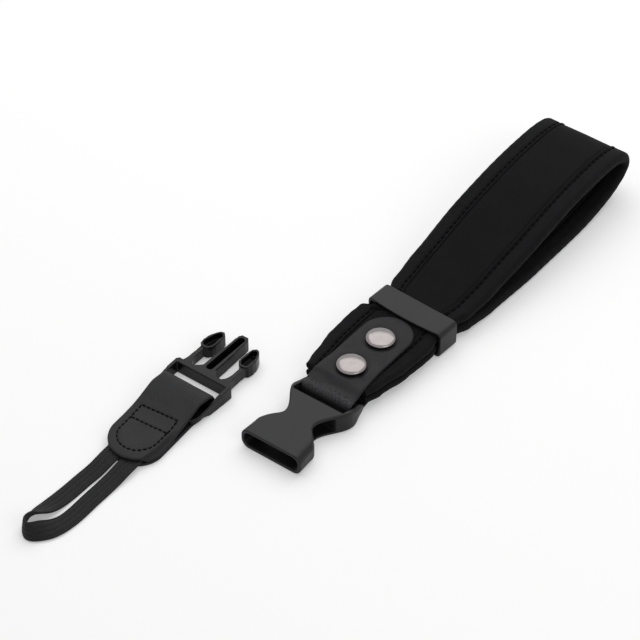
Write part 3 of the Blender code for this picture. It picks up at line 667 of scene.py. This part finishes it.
def stitches(name, paths, pitch, length, material, radius):
    """Rows of stitches; each path is (function of distance, first distance, last distance)."""
    meshes = []
    for path_at, first, last in paths:
        count = max(int(round((last - first) / pitch)), 1)
        for k in range(count):
            middle = first + (last - first) * (k + 0.5) / count
            rings = stitch_rings(path_at, middle - length / 2, middle + length / 2, radius)
            meshes.append(skin("stitch", rings))
    piece = link(name, join_meshes(name, meshes), material)
    piece.data.shade_smooth()
    return piece


def band_stitch_path(route, side, face):
    """Where the sewing runs on one face of one binding."""
    def path_at(distance):
        (y, z), (normal_y, normal_z) = route.frame(distance)
        x = side * (band_half_width(y) - band_margin(y) + STITCH_LINE)
        up = Vector((0, normal_y, normal_z)) * face
        centre = Vector((x + band_shift(y), y + x * band_skew(y), z))
        return centre + up * (band_half_thickness(y) - 0.26 * MM), Vector((1, 0, 0)), up
    return path_at


def build_band(jersey, tape, thread):
    route = Route(smooth_curve(band_points(), 14))
    lower, loop, upper = band_spans(route)
    for run, spans in (("near", (lower, upper)), ("loop", (loop,))):
        core = link(f"band_core_{run}", join_meshes("core", [
            skin("core", carry_band(route, spaced(span, 1.0 * MM), core_section)) for span in spans]), jersey)
        settle_run(core, run)
        if run == "loop":
            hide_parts("wrist_band")
        for side, sign in (("left", -1), ("right", 1)):
            def section(distance, y, sign=sign):
                return binding_section(distance, y, sign)

            piece = link(f"binding_{side}_{run}", join_meshes("binding", [
                skin("tape", carry_band(route, spaced(span, 0.6 * MM), section)) for span in spans]), tape)
            settle_run(piece, run)
            if run == "loop":
                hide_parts(f"edge_binding_{side}")
            paths = [(band_stitch_path(route, sign, face), *span) for span in spans for face in (-1, 1)]
            row = stitches(f"binding_stitches_{side}_{run}", paths, STITCH_PITCH, STITCH_LENGTH, thread,
                           0.41 * MM)
            settle_run(row, run)


def settle_run(piece, run):
    """The run's placement is baked into its mesh; the stretch at the tab and the stretch in the keeper are
    treated alike.
    """
    if run == "near":
        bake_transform(piece)
    else:
        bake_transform(piece)


# Leather


def leather_rings(route, outward, radius, half_width_at, to_end_at, lean_at, surface_at):
    """A leather strip whose faces round off at its outline, also round its ends in plan.

    outward is the side of the route its grain face lies on. surface_at gives the relief of that
    face and the lift of the whole strip.
    """
    columns = np.sin(np.linspace(-pi / 2, pi / 2, 67))
    tips = route.length * (1 - np.cos(np.linspace(0, pi / 2, 14))) * 0.02
    distances = np.unique(np.concatenate([tips, spaced((0, route.length), 0.5 * MM), route.length - tips]))
    rings = []
    for distance in distances:
        (y, z), (normal_y, normal_z) = route.frame(distance)
        half_width, to_end, lean = half_width_at(y), to_end_at(y), lean_at(y, z)
        grain, flesh = [], []
        for x in end_half_width(half_width, to_end, radius) * columns:
            edge = outline_distance(x, half_width, to_end, radius)
            inside = min(max(edge, 0.0) / LEATHER_EDGE, 1.0)
            half = LEATHER / 2 * sqrt(max(1 - (1 - inside) ** 2, 0.0))
            depth, lift = surface_at(x, y, distance, edge)
            grain.append((x + lean, outward * (half + depth + lift)))
            flesh.append((x + lean, outward * (0.7 * depth + lift - half)))
        across, height = np.array(grain + flesh[::-1][1:-1]).T
        rings.append(np.column_stack([across, y + height * normal_y, z + height * normal_z]))
    return rings


def end_half_width(half_width, to_end, radius):
    if to_end >= radius:
        return half_width
    reach = radius - max(to_end, 0.0)
    return max(half_width * sqrt(max(1 - (reach / radius) ** 2, 0.0)), 0.4 * MM)


def outline_distance(x, half_width, to_end, radius):
    """How far a point lies inside the outline of a strip with a round end."""
    if to_end >= radius:
        return half_width - abs(x)
    reach = radius - to_end
    return radius * (1 - sqrt((x / half_width) ** 2 + (reach / radius) ** 2))


def bell(value, width):
    return np.exp(-(value / width) ** 2)


def socket_fold():
    """The loose fold round the socket's bar, from the slope above it to the layer below."""
    fold_mm = ((8.5, 6.35), (6.7, 6.35), (4.8, 6.2), (2.2, 5.3), (-1.0, 4.4), (-3.4, 3.4), (-4.5, 1.6),
               (-4.6, -0.4), (-3.8, -2.3), (-2.2, -3.4), (0.3, -3.75), (4.0, -3.4))
    return [(BAR_Y + y * MM, BAR_Z + z * MM) for y, z in fold_mm]


def tab_surface(x, y, distance, edge):
    """Relief of the socket tab: dished round the rivets, pressed along its edge, creased on its slope."""
    if distance > TAB_CREST + 16 * MM:
        return 0.0, 0.0
    depth = 0.10 * MM * soft_noise(x, distance, 9 * MM, 1.0)
    for rivet_y in RIVET_YS.values():
        away = sqrt(x * x + (y - rivet_y) ** 2)
        depth -= 0.34 * MM * bell(max(away - 6.2 * MM, 0.0), 1.2 * MM)
        depth += 0.14 * MM * bell(away - 8.8 * MM, 1.4 * MM)
    depth -= 0.25 * MM * bell(max(edge, 0), 1.3 * MM)
    depth -= 0.07 * MM * bell(edge - 1.9 * MM, 0.3 * MM)
    past = distance - TAB_CREST
    slope = ease(-5 * MM, 0.0, past) * ease(15 * MM, 7 * MM, past)
    depth += 0.22 * MM * slope * soft_noise(0.3 * x, distance, 2.6 * MM, 6.0)
    crease = (past + 4.0 * MM) * 0.8 - (x - 6.5 * MM) * 0.6
    depth -= 0.40 * MM * bell(crease, 0.9 * MM) * bell(x - 7.0 * MM, 3.0 * MM)
    return depth, 0.0


def build_socket_tab(leather):
    top = [(y, TAB_TOP_Z) for y in np.linspace(TAB_END_Y, BAR_Y + 12 * MM, 20)]
    bottom = [(y, TAB_BOTTOM_Z) for y in np.linspace(BAND_START_Y + 3 * MM, TAB_END_Y, 22)]
    route = Route(smooth_curve(top + socket_fold() + bottom, 4))

    def waisted(y):
        return TAB_HALF_WIDTH - 0.9 * MM * ease(BAR_Y, BAR_Y + 20 * MM, y)

    rings = leather_rings(route, -1, TAB_HALF_WIDTH * 0.95, waisted, lambda y: TAB_END_Y - y,
                          lambda y, z: 0.0, tab_surface)
    tab = link("tab_leather", skin("tab_leather", rings), leather)
    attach(tab, "strap")
    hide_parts("socket_tab")


def sewn_outline():
    """The sewing on the connector tab: a D with a straight end, closed by a cross line."""
    side, start, cross, end = 8.9 * MM, -17.0 * MM, -24.4 * MM, -39.5 * MM
    arc = [(side * cos(a), end + side + side * sin(a)) for a in np.radians(np.linspace(0, -180, 25))]
    d_shape = [(-side, start), (side, start), (side, cross)] + arc + [(-side, cross), (-side, start)]
    cross_line = [(-side, cross), (side, cross)]
    knot = [(side - 0.5 * MM, cross - 0.8 * MM), (side + 0.6 * MM, cross + 0.9 * MM)]
    return [[(x, y + x * tan(CONNECTOR_TAB_SLANT)) for x, y in line] for line in (d_shape, cross_line, knot)]


def dense_line(points, step):
    route = Route(points)
    return [tuple(route.at(d)) for d in spaced((0, route.length), step)]


def connector_lean(y, z):
    """How far the connector tab lies to one side of the plug's middle line."""
    start = 1 * MM if z > PLUG_MID_Z else 6 * MM
    return CONNECTOR_TAB_SHIFT * ease(start, start + 6 * MM, -y) + max(-y, 0.0) * tan(CONNECTOR_TAB_SLANT)


def build_connector_tab(leather, thread):
    half_width = CONNECTOR_TAB_HALF_WIDTH
    bottom_z = PLUG_MID_Z - PLUG_BAR_RADIUS - GAP - LEATHER / 2
    top = [(y, CONNECTOR_TOP_Z) for y in np.linspace(-CONNECTOR_TAB_LENGTH, -26 * MM, 12)]
    slope = in_mm(0, ((-20, 4.3), (-15, 5.1), (-10, 6.3), (-5.5, 7.3), (-2.0, 7.7)))
    wrap = in_mm(0, ((0.6, 7.2), (2.1, 5.6), (2.75, 3.5), (2.0, 1.5)))
    bottom = [(0.0, bottom_z)] + [(y, bottom_z) for y in np.linspace(-5 * MM, -CONNECTOR_TAB_LENGTH, 24)]
    route = Route(smooth_curve(top + slope + wrap + bottom, 4))
    place = Vector((PLUG_X, PLUG_BAR_Y, 0.0))
    lines = sewn_outline()
    sewn = np.array([point for line in lines[:2] for point in dense_line(line, 0.5 * MM)])

    def to_end(y):
        return CONNECTOR_TAB_LENGTH + y

    def surface_at(x, y, distance, edge):
        if distance > CONNECTOR_TAB_LENGTH + 6 * MM:
            return 0.0, 0.0
        edge = max(edge, 0.0)
        near = np.hypot(sewn[:, 0] - x, sewn[:, 1] - y).min()
        depth = 0.09 * MM * soft_noise(x, y, 8 * MM, 7.0) - 0.20 * MM * bell(near, 0.55 * MM)
        depth -= 0.12 * MM * bell(edge, 1.0 * MM)
        drop = ease(-19 * MM, -26 * MM, y) * ease(3.0 * MM, 0.4 * MM, edge) * ease(8.8 * MM, 10.4 * MM, x)
        return depth, -1.6 * MM * drop

    rings = leather_rings(route, 1, half_width, lambda y: half_width, to_end, connector_lean, surface_at)
    rings = [ring + np.array(place) for ring in rings]
    tab = link("connector_leather", skin("connector_leather", rings), leather)
    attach(tab, "connector")
    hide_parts("connector_tab")

    def on_top(line):
        points = Route(line)

        def path_at(distance):
            x, y = points.at(distance)
            ahead = points.at(distance + 0.1 * MM) - points.at(distance - 0.1 * MM)
            side = Vector((-ahead[1], ahead[0], 0)).normalized()
            z = np.interp(y, *zip(*(top + slope)))
            edge = outline_distance(x, half_width, to_end(y), half_width)
            height = LEATHER / 2 + sum(surface_at(x, y, 0.0, edge)) + 0.10 * MM
            centre = place + Vector((x + connector_lean(y, 8 * MM), y, z + height))
            waver = side * (0.22 * MM * soft_noise(x, y, 4 * MM, 2.0))
            return centre + waver, side, Vector((0, 0, 1))
        return path_at, 0.0, points.length

    row = stitches("connector_stitches", [on_top(line) for line in lines], 2.3 * MM, 2.05 * MM, thread,
                   0.27 * MM)
    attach(row, "connector")


# Rivets


def rivet_profiles():
    """(radius, z) points of the domed cap, and of the base with its post."""
    cap_z = TAB_TOP_Z + LEATHER / 2 + 0.15 * MM
    rim = 0.45 * MM
    dome = [(0, cap_z), (RIVET_RADIUS - 0.5 * MM, cap_z), (RIVET_RADIUS - 0.12 * MM, cap_z + 0.08 * MM)]
    dome += [(RIVET_RADIUS * cos(a), cap_z + rim + (RIVET_CROWN - rim) * sin(a) ** 0.92)
             for a in np.radians(np.linspace(0, 90, 24))]
    top = TAB_BOTTOM_Z - LEATHER / 2
    foot = [(0, 0.25 * MM), (RIVET_BASE_RADIUS - 1.4 * MM, 0.25 * MM), (RIVET_BASE_RADIUS - 1.1 * MM, 0.0),
            (RIVET_BASE_RADIUS - 0.4 * MM, 0.0), (RIVET_BASE_RADIUS, 0.3 * MM), (RIVET_BASE_RADIUS, top),
            (0, top)]
    return dome, foot


def build_rivet(place, y, nickel):
    dome, foot = rivet_profiles()
    for part, profile, node in (("dome", dome, "cap"), ("foot", foot, "base")):
        mesh = lathe(part, profile)
        mesh.transform(Matrix.Translation((0, y, 0)))
        piece = link(f"rivet_{part}_{place}", mesh, nickel)
        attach(piece, "strap")
        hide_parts(f"rivet_{node}_{place}")


# Keeper


def evenly(section, count):
    """Spread the points of a closed section evenly over a fixed number of points."""
    points = np.array(section + section[:1])
    along = running(points)
    places = np.linspace(0, along[-1], count, endpoint=False)
    return np.column_stack([np.interp(places, along, points[:, k]) for k in (0, 1)])


def build_keeper(plastic):
    half_height = KEEPER_HEIGHT / 2
    half_depth = KEEPER_DEPTH / 2
    outer = evenly(rounded_rectangle(KEEPER_HALF_WIDTH, half_height, 2.2 * MM, 8), 144)
    inner = evenly(rounded_rectangle(KEEPER_HALF_WIDTH - KEEPER_WALL, half_height - KEEPER_WALL,
                                     1.1 * MM, 8), 144)
    middle = (outer + inner) / 2
    corner = 0.45 * MM
    turns = np.radians(np.linspace(0, 90, 5))
    back = [(1.0, half_depth - corner)]
    back += [(1.0 - 0.45 * (1 - cos(a)), half_depth - corner + corner * sin(a)) for a in turns[1:]]
    stations = [(share, -y) for share, y in back[::-1]] + back
    rings = [keeper_ring(middle + (outer - middle) * share, y) for share, y in stations]
    rings += [keeper_ring(middle + (inner - middle) * share, y) for share, y in stations[::-1]]
    mesh = skin("keeper_ring", rings, closed=True, smooth_angle=50)
    mesh.transform(Matrix.Translation((0, KEEPER_Y + half_depth, 0)) @ Matrix.Rotation(KEEPER_TURN, 4, "Z"))
    piece = link("keeper_ring", mesh, plastic)
    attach(piece, "keeper")
    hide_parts("keeper")


def keeper_ring(outline, y):
    """One ring of the keeper; the front edge of its upper wall bows towards the buckle."""
    half_height = KEEPER_HEIGHT / 2
    ahead = ease(KEEPER_DEPTH / 2, -KEEPER_DEPTH / 2, y)
    ring = []
    for x, z in outline:
        bow = KEEPER_BOW * ahead * (1 - (x / KEEPER_HALF_WIDTH) ** 2) * ease(0, half_height, z)
        ring.append((x, y - bow, half_height + z))
    return ring


# Socket


def socket_half_width(distance):
    return between(((0, MOUTH_HALF_WIDTH), (9 * MM, MOUTH_HALF_WIDTH - 0.7 * MM),
                    (18.6 * MM, WAIST_HALF_WIDTH), (34.5 * MM, CHEEK_HALF_WIDTH)), distance)


def rounded_section(half_width, low_z, high_z, radius, y):
    middle = (low_z + high_z) / 2
    return [(x, y, middle + z) for x, z in rounded_rectangle(half_width, (high_z - low_z) / 2, radius, 8)]


def socket_reach(distance):
    """Half the socket's width, a little narrower again at the tips of the cheeks."""
    return socket_half_width(distance) - 0.9 * MM * ease(36 * MM, 43 * MM, distance)


def socket_heights(distance):
    """The lower and upper side: full height, then a taper to an eye about the bar."""
    eye = 2.6 * MM
    back = max(MOUTH_Y + distance - BAR_Y, 0.0)
    if back > 0:
        half = eye * sqrt(max(1 - (back / (3.1 * MM)) ** 2, 0.05))
        return -half, half
    high = between(((CHEEK_START, BAR_Z), (39.5 * MM, eye)), distance)
    low = between(((35 * MM, -BAR_Z), (39.5 * MM, -eye)), distance)
    return low, high


def socket_body():
    rings = []
    for distance in np.append(np.arange(0, 42.4, 0.6), 42.5) * MM:
        low, high = socket_heights(distance)
        radius = between(in_mm(0, ((0, 3.7), (10, 3.0), (15, 1.1))), distance)
        radius = min(radius, (high - low) * 0.45)
        rings.append(rounded_section(socket_reach(distance), low, high, radius, MOUTH_Y - BAR_Y + distance))
    return skin("socket_body", rings)


def socket_cavity():
    """The hollow, from stations in mm: the mouth's funnel, the windows and the guide's seat."""
    high = BAR_Z - SOCKET_WALL
    end = WINDOW_END / MM
    rings = []
    for place, half_width, radius in ((-1, 13.3, 2.6), (2, 13.2, 2.6), (11.8, 10.7, 2.2), (12.0, 16, 0.6),
                                      (end, 16, 0.6), (end + 0.1, 7.4, 0.5), (end + 0.3, 7.4, 0.5)):
        rings.append(rounded_section(half_width * MM, -high, high, radius * MM, MOUTH_Y - BAR_Y + place * MM))
    return skin("socket_cavity", rings)


def tab_slot():
    """The space between the cheeks, which holds the leather's fold."""
    reach = TAB_HALF_WIDTH + 0.45 * MM
    front = MOUTH_Y + CHEEK_START - BAR_Y
    return prism([(reach, front), (reach, 9 * MM), (-reach, 9 * MM), (-reach, front)], -9 * MM, 9 * MM)


def build_socket(plastic):
    steps = [("DIFFERENCE", tab_slot()), ("UNION", cross_bar(BAR_RADIUS, 13.3 * MM, 0.0, 0.0)),
             ("DIFFERENCE", socket_cavity())]
    piece = moulded("socket_shell", socket_body(), steps, 0.26 * MM, 4, plastic, (0, BAR_Y, BAR_Z))
    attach(piece, "socket")
    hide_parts("socket")


# Plug


def plug_outline():
    length = PLUG_FRONT_Y - PLUG_REAR_Y
    corner = 5.0 * MM
    right = [(PLUG_HALF_WIDTH - 1 * MM, 0.0), (PLUG_HALF_WIDTH, -1.2 * MM), (PLUG_HALF_WIDTH, -5 * MM)]
    right += [(PLUG_REAR_HALF_WIDTH - corner + corner * cos(a), -length + corner - corner * sin(a))
              for a in np.radians(np.linspace(0, 90, 13))]
    return right + [(-x, y) for x, y in right[::-1]]


def plug_side_outline():
    bar = PLUG_BAR_Y - PLUG_FRONT_Y
    rear = PLUG_REAR_Y - PLUG_FRONT_Y - 1 * MM
    return [(1 * MM, PLUG_BOTTOM_Z), (1 * MM, PLUG_TOP_Z), (bar + 5 * MM, PLUG_TOP_Z - 0.3 * MM),
            (bar - 8 * MM, 3.95 * MM), (rear, 3.8 * MM), (rear, 1.75 * MM), (bar - 6 * MM, 1.75 * MM),
            (bar - 2 * MM, PLUG_BOTTOM_Z)]


def plug_opening():
    front = PLUG_OPENING_HALF_WIDTH
    rear = front - 0.7 * MM
    rear_y = PLUG_REAR_Y - PLUG_FRONT_Y + 3.2 * MM
    return [(front, -2.5 * MM), (-front, -2.5 * MM), (-front, -15 * MM), (-rear, rear_y), (rear, rear_y),
            (front, -15 * MM)]


def guide_shape():
    widths = in_mm(0, ((0, 5.6), (2.8, 3.15), (22, 2.7), (24.8, 2.4), (GUIDE_LENGTH / MM, 1.6)))
    right = [(between(widths, d), d) for d in np.linspace(-0.6 * MM, GUIDE_LENGTH, 50)]
    return prism(right + [(-x, y) for x, y in right[::-1]], PLUG_BOTTOM_Z + 0.2 * MM, PLUG_TOP_Z - 0.1 * MM)


def channel_shape():
    half_width = 1.55 * MM
    start = 1.6 * MM + half_width
    end = GUIDE_LENGTH - 1.3 * MM - half_width
    arc = np.radians(np.linspace(0, 180, 13))
    far = [(half_width * cos(a), end + half_width * sin(a)) for a in arc]
    near = [(-half_width * cos(a), start - half_width * sin(a)) for a in arc]
    return prism(far + near, 2.0 * MM, 9 * MM)


def build_plug_frame(plastic):
    bar_half_length = PLUG_OPENING_HALF_WIDTH + 0.6 * MM
    steps = [("INTERSECT", side_prism(plug_side_outline(), 20 * MM)),
             ("DIFFERENCE", prism(plug_opening(), -1 * MM, 9 * MM)),
             ("UNION", cross_bar(PLUG_BAR_RADIUS, bar_half_length, PLUG_BAR_Y - PLUG_FRONT_Y, PLUG_MID_Z)),
             ("UNION", guide_shape()), ("DIFFERENCE", channel_shape())]
    piece = moulded("plug_body", prism(plug_outline(), 0.0, 8 * MM), steps, 0.2 * MM, 3, plastic,
                    (PLUG_X, PLUG_FRONT_Y, 0))
    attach(piece, "connector")
    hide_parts("plug_frame")


def arm_outline(sign):
    """The stem of a latch arm; its root flares out and runs a little into the frame."""
    stem_mm = ((2.4, -1.0), (2.0, 0.2), (1.5, 1.5), (1.3, 4.0), (1.25, 8.0), (1.4, 13.5), (-0.9, 13.5),
               (-0.8, 8.0), (-0.8, 5.0), (-1.1, 3.2), (-1.7, 1.6), (-2.8, 0.4), (-4.0, -1.0))
    return [(sign * x * MM, y * MM) for x, y in stem_mm]


def barb_outline(sign, inset=0.0):
    """The arrow head of a latch arm; inset, in mm, gives the hollow in its top."""
    head_mm = ((1.0, 10.9), (2.2, 11.9), (2.6, 14.2), (2.35, 16.9), (1.7, 18.9), (0.7, 20.9), (-0.4, 22.3),
               (-1.8, 22.7), (-3.3, 21.3), (-3.65, 17.7), (-3.7, 14.7), (-3.4, 12.6), (-2.2, 11.1),
               (-0.8, 10.5))
    centre = Vector((-0.6, 16.6))
    points = []
    for point in head_mm:
        arm = Vector(point) - centre
        x, y = centre + arm * (1 - inset / arm.length)
        points.append((sign * x * MM, y * MM))
    return points


def build_latch_arm(side, plastic):
    sign = -1 if side == "left" else 1
    steps = [("UNION", prism(barb_outline(sign), 0.5 * MM, 6.3 * MM)),
             ("DIFFERENCE", prism(barb_outline(sign, 1.1), 3.4 * MM, 8 * MM))]
    root = Vector((PLUG_X + sign * ARM_ROOT_OFFSET, PLUG_FRONT_Y + GAP, 0))
    piece = moulded(f"latch_prong_{side}", prism(arm_outline(sign), 1.0 * MM, 5.6 * MM), steps, 0.18 * MM, 3,
                    plastic, root)
    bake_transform(piece)
    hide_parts(f"latch_arm_{side}")


# Lug loop


def lug_stations():
    """Centre, direction and width direction of the tape, down one leg, round the tip and back."""
    route = smooth_curve([station[:3] for station in LUG_ROUTE], 9) * MM
    tilts = np.radians(smooth_curve([station[3:] for station in LUG_ROUTE], 9)[:, 0])
    stations = []
    for centre, direction, tilt in zip(route, np.gradient(route, axis=0), tilts):
        sideways = Vector((-direction[1], direction[0], 0)).normalized()
        across = sideways * cos(tilt) + Vector((0, 0, sin(tilt)))
        stations.append((Vector(centre), Vector(direction).normalized(), across))
    return stations


def tape_section():
    """Flat tape with four rounded ribs along it."""
    half = []
    for share in np.linspace(1, -1, 49):
        edge = sqrt(max(1 - abs(share) ** 14, 0.0))
        rib = 0.62 + 0.38 * abs(cos(2 * pi * share)) ** 0.8
        half.append((LUG_TAPE_HALF_WIDTH * share, LUG_TAPE_THICKNESS / 2 * edge * rib))
    return half + [(a, -b) for a, b in half[::-1][1:-1]]


def build_lug_loop(webbing):
    section = tape_section()
    base = Vector((LUG_X, 0, 0))
    rings = []
    for i, (centre, direction, across) in enumerate(lug_stations()):
        normal = direction.cross(across).normalized()
        wave = 1 + 0.025 * soft_noise(i * 0.7 * MM, 0, 9 * MM, 4.0)
        rings.append([base + centre + across * (a * wave) + normal * b for a, b in section])
    piece = link("lug_webbing", skin("lug_webbing", rings), webbing)
    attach(piece, "connector")
    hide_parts("lug_loop")


# Studio


def seen_rays(tree):
    """1 for what the camera sees, directly, in gloss or through glass."""
    rays = add_node(tree, "LightPath")
    direct = calc(tree, "MAXIMUM", rays.outputs["Is Camera Ray"], rays.outputs["Is Glossy Ray"])
    return calc(tree, "MAXIMUM", direct, rays.outputs["Is Transmission Ray"])


def make_backdrop_material():
    """White paper that still takes the object's shadow."""
    material, tree = new_surface("paper", Base_Color=(0.86, 0.86, 0.86, 1), Roughness=0.9,
                                 Specular_IOR_Level=0.1)
    strength = calc(tree, "MULTIPLY", seen_rays(tree), 0.3)
    glow = add_node(tree, "Emission", {"Color": (1, 1, 1, 1), "Strength": strength})
    paper = tree.nodes["Principled BSDF"].outputs[0]
    both = add_node(tree, "AddShader", {0: paper, 1: glow.outputs[0]})
    tree.links.new(both.outputs[0], tree.nodes["Material Output"].inputs["Surface"])
    return material


def build_floor():
    mesh = bpy.data.meshes.new("floor")
    size = 3.0
    corners = [(-size, -size, 0), (size, -size, 0), (size, size, 0), (-size, size, 0)]
    mesh.from_pydata(corners, [], [(0, 1, 2, 3)])
    floor = link("floor", mesh, make_backdrop_material())
    floor.location = (0, 0, -0.02 * MM)


def build_world():
    world = bpy.data.worlds.new("studio")
    bpy.context.scene.world = world
    world.use_nodes = True
    tree = world.node_tree
    background = tree.nodes["Background"]
    background.inputs["Color"].default_value = (1, 1, 1, 1)
    tree.links.new(ramp(tree, seen_rays(tree), 0.3, 1.0), background.inputs["Strength"])


def add_softbox(name, place, size, power):
    data = bpy.data.lights.new(name, "AREA")
    data.shape = "RECTANGLE"
    data.size, data.size_y = size
    data.energy = power
    lamp = bpy.data.objects.new(name, data)
    bpy.context.scene.collection.objects.link(lamp)
    lamp.location = place
    lamp.rotation_euler = (LIGHT_TARGET - Vector(place)).to_track_quat("-Z", "Y").to_euler()


def build_camera():
    a, e = CAMERA_AZIMUTH, CAMERA_ELEVATION
    forward = Vector((-sin(a) * cos(e), cos(a) * cos(e), -sin(e)))
    data = bpy.data.cameras.new("camera")
    data.lens = CAMERA_LENS
    data.sensor_width = 36.0
    data.clip_start, data.clip_end = 0.05, 20
    camera = bpy.data.objects.new("camera", data)
    bpy.context.scene.collection.objects.link(camera)
    camera.location = CAMERA_TARGET - forward * CAMERA_DISTANCE
    camera.rotation_mode = "QUATERNION"
    camera.rotation_quaternion = forward.to_track_quat("-Z", "Y")
    bpy.context.scene.camera = camera


def build_studio():
    build_floor()
    build_world()
    add_softbox("overhead", (-0.25, 0.52, 1.05), (1.6, 1.4), 10.0)
    add_softbox("side", (0.9, -0.2, 0.7), (0.6, 0.6), 1.5)
    bpy.context.scene.view_settings.view_transform = "Standard"


def build_all():
    jersey = make_jersey()
    tape = make_binding()
    thread = make_thread()
    # The socket tab's leather gets a painted highlight across its slope
    tab_leather = make_leather("tab_grain", (0.006, 0.006, 0.007), (0.014, 0.0137, 0.016), 0.44, 0.60,
                               PAINTED_HIGHLIGHT_AT)
    connector_leather = make_leather("connector_grain", (0.008, 0.008, 0.009), (0.018, 0.018, 0.020),
                                     0.42, 0.56)
    satin = make_plastic("satin_plastic", (0.008, 0.008, 0.009), (0.016, 0.016, 0.018), 0.34, 0.46,
                         0.018 * MM, 0.22)
    gloss = make_plastic("gloss_plastic", (0.003, 0.003, 0.0032), (0.007, 0.007, 0.0073), 0.2, 0.34,
                         0.006 * MM, 0.17)
    nickel = make_nickel()
    webbing = make_webbing()

    build_band(jersey, tape, thread)
    build_socket_tab(tab_leather)
    for place, y in RIVET_YS.items():
        build_rivet(place, y, nickel)
    build_keeper(satin)
    build_socket(satin)
    build_plug_frame(gloss)
    for side in ("left", "right"):
        build_latch_arm(side, gloss)
    build_connector_tab(connector_leather, thread)
    build_lug_loop(webbing)
    build_camera()
    build_studio()


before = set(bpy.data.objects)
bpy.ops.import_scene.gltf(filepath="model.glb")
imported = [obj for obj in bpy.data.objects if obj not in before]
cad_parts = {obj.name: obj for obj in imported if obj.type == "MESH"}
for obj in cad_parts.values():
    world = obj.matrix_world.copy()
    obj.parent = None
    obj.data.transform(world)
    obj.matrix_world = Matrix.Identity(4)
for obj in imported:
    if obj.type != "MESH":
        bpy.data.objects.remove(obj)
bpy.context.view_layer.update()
build_all()
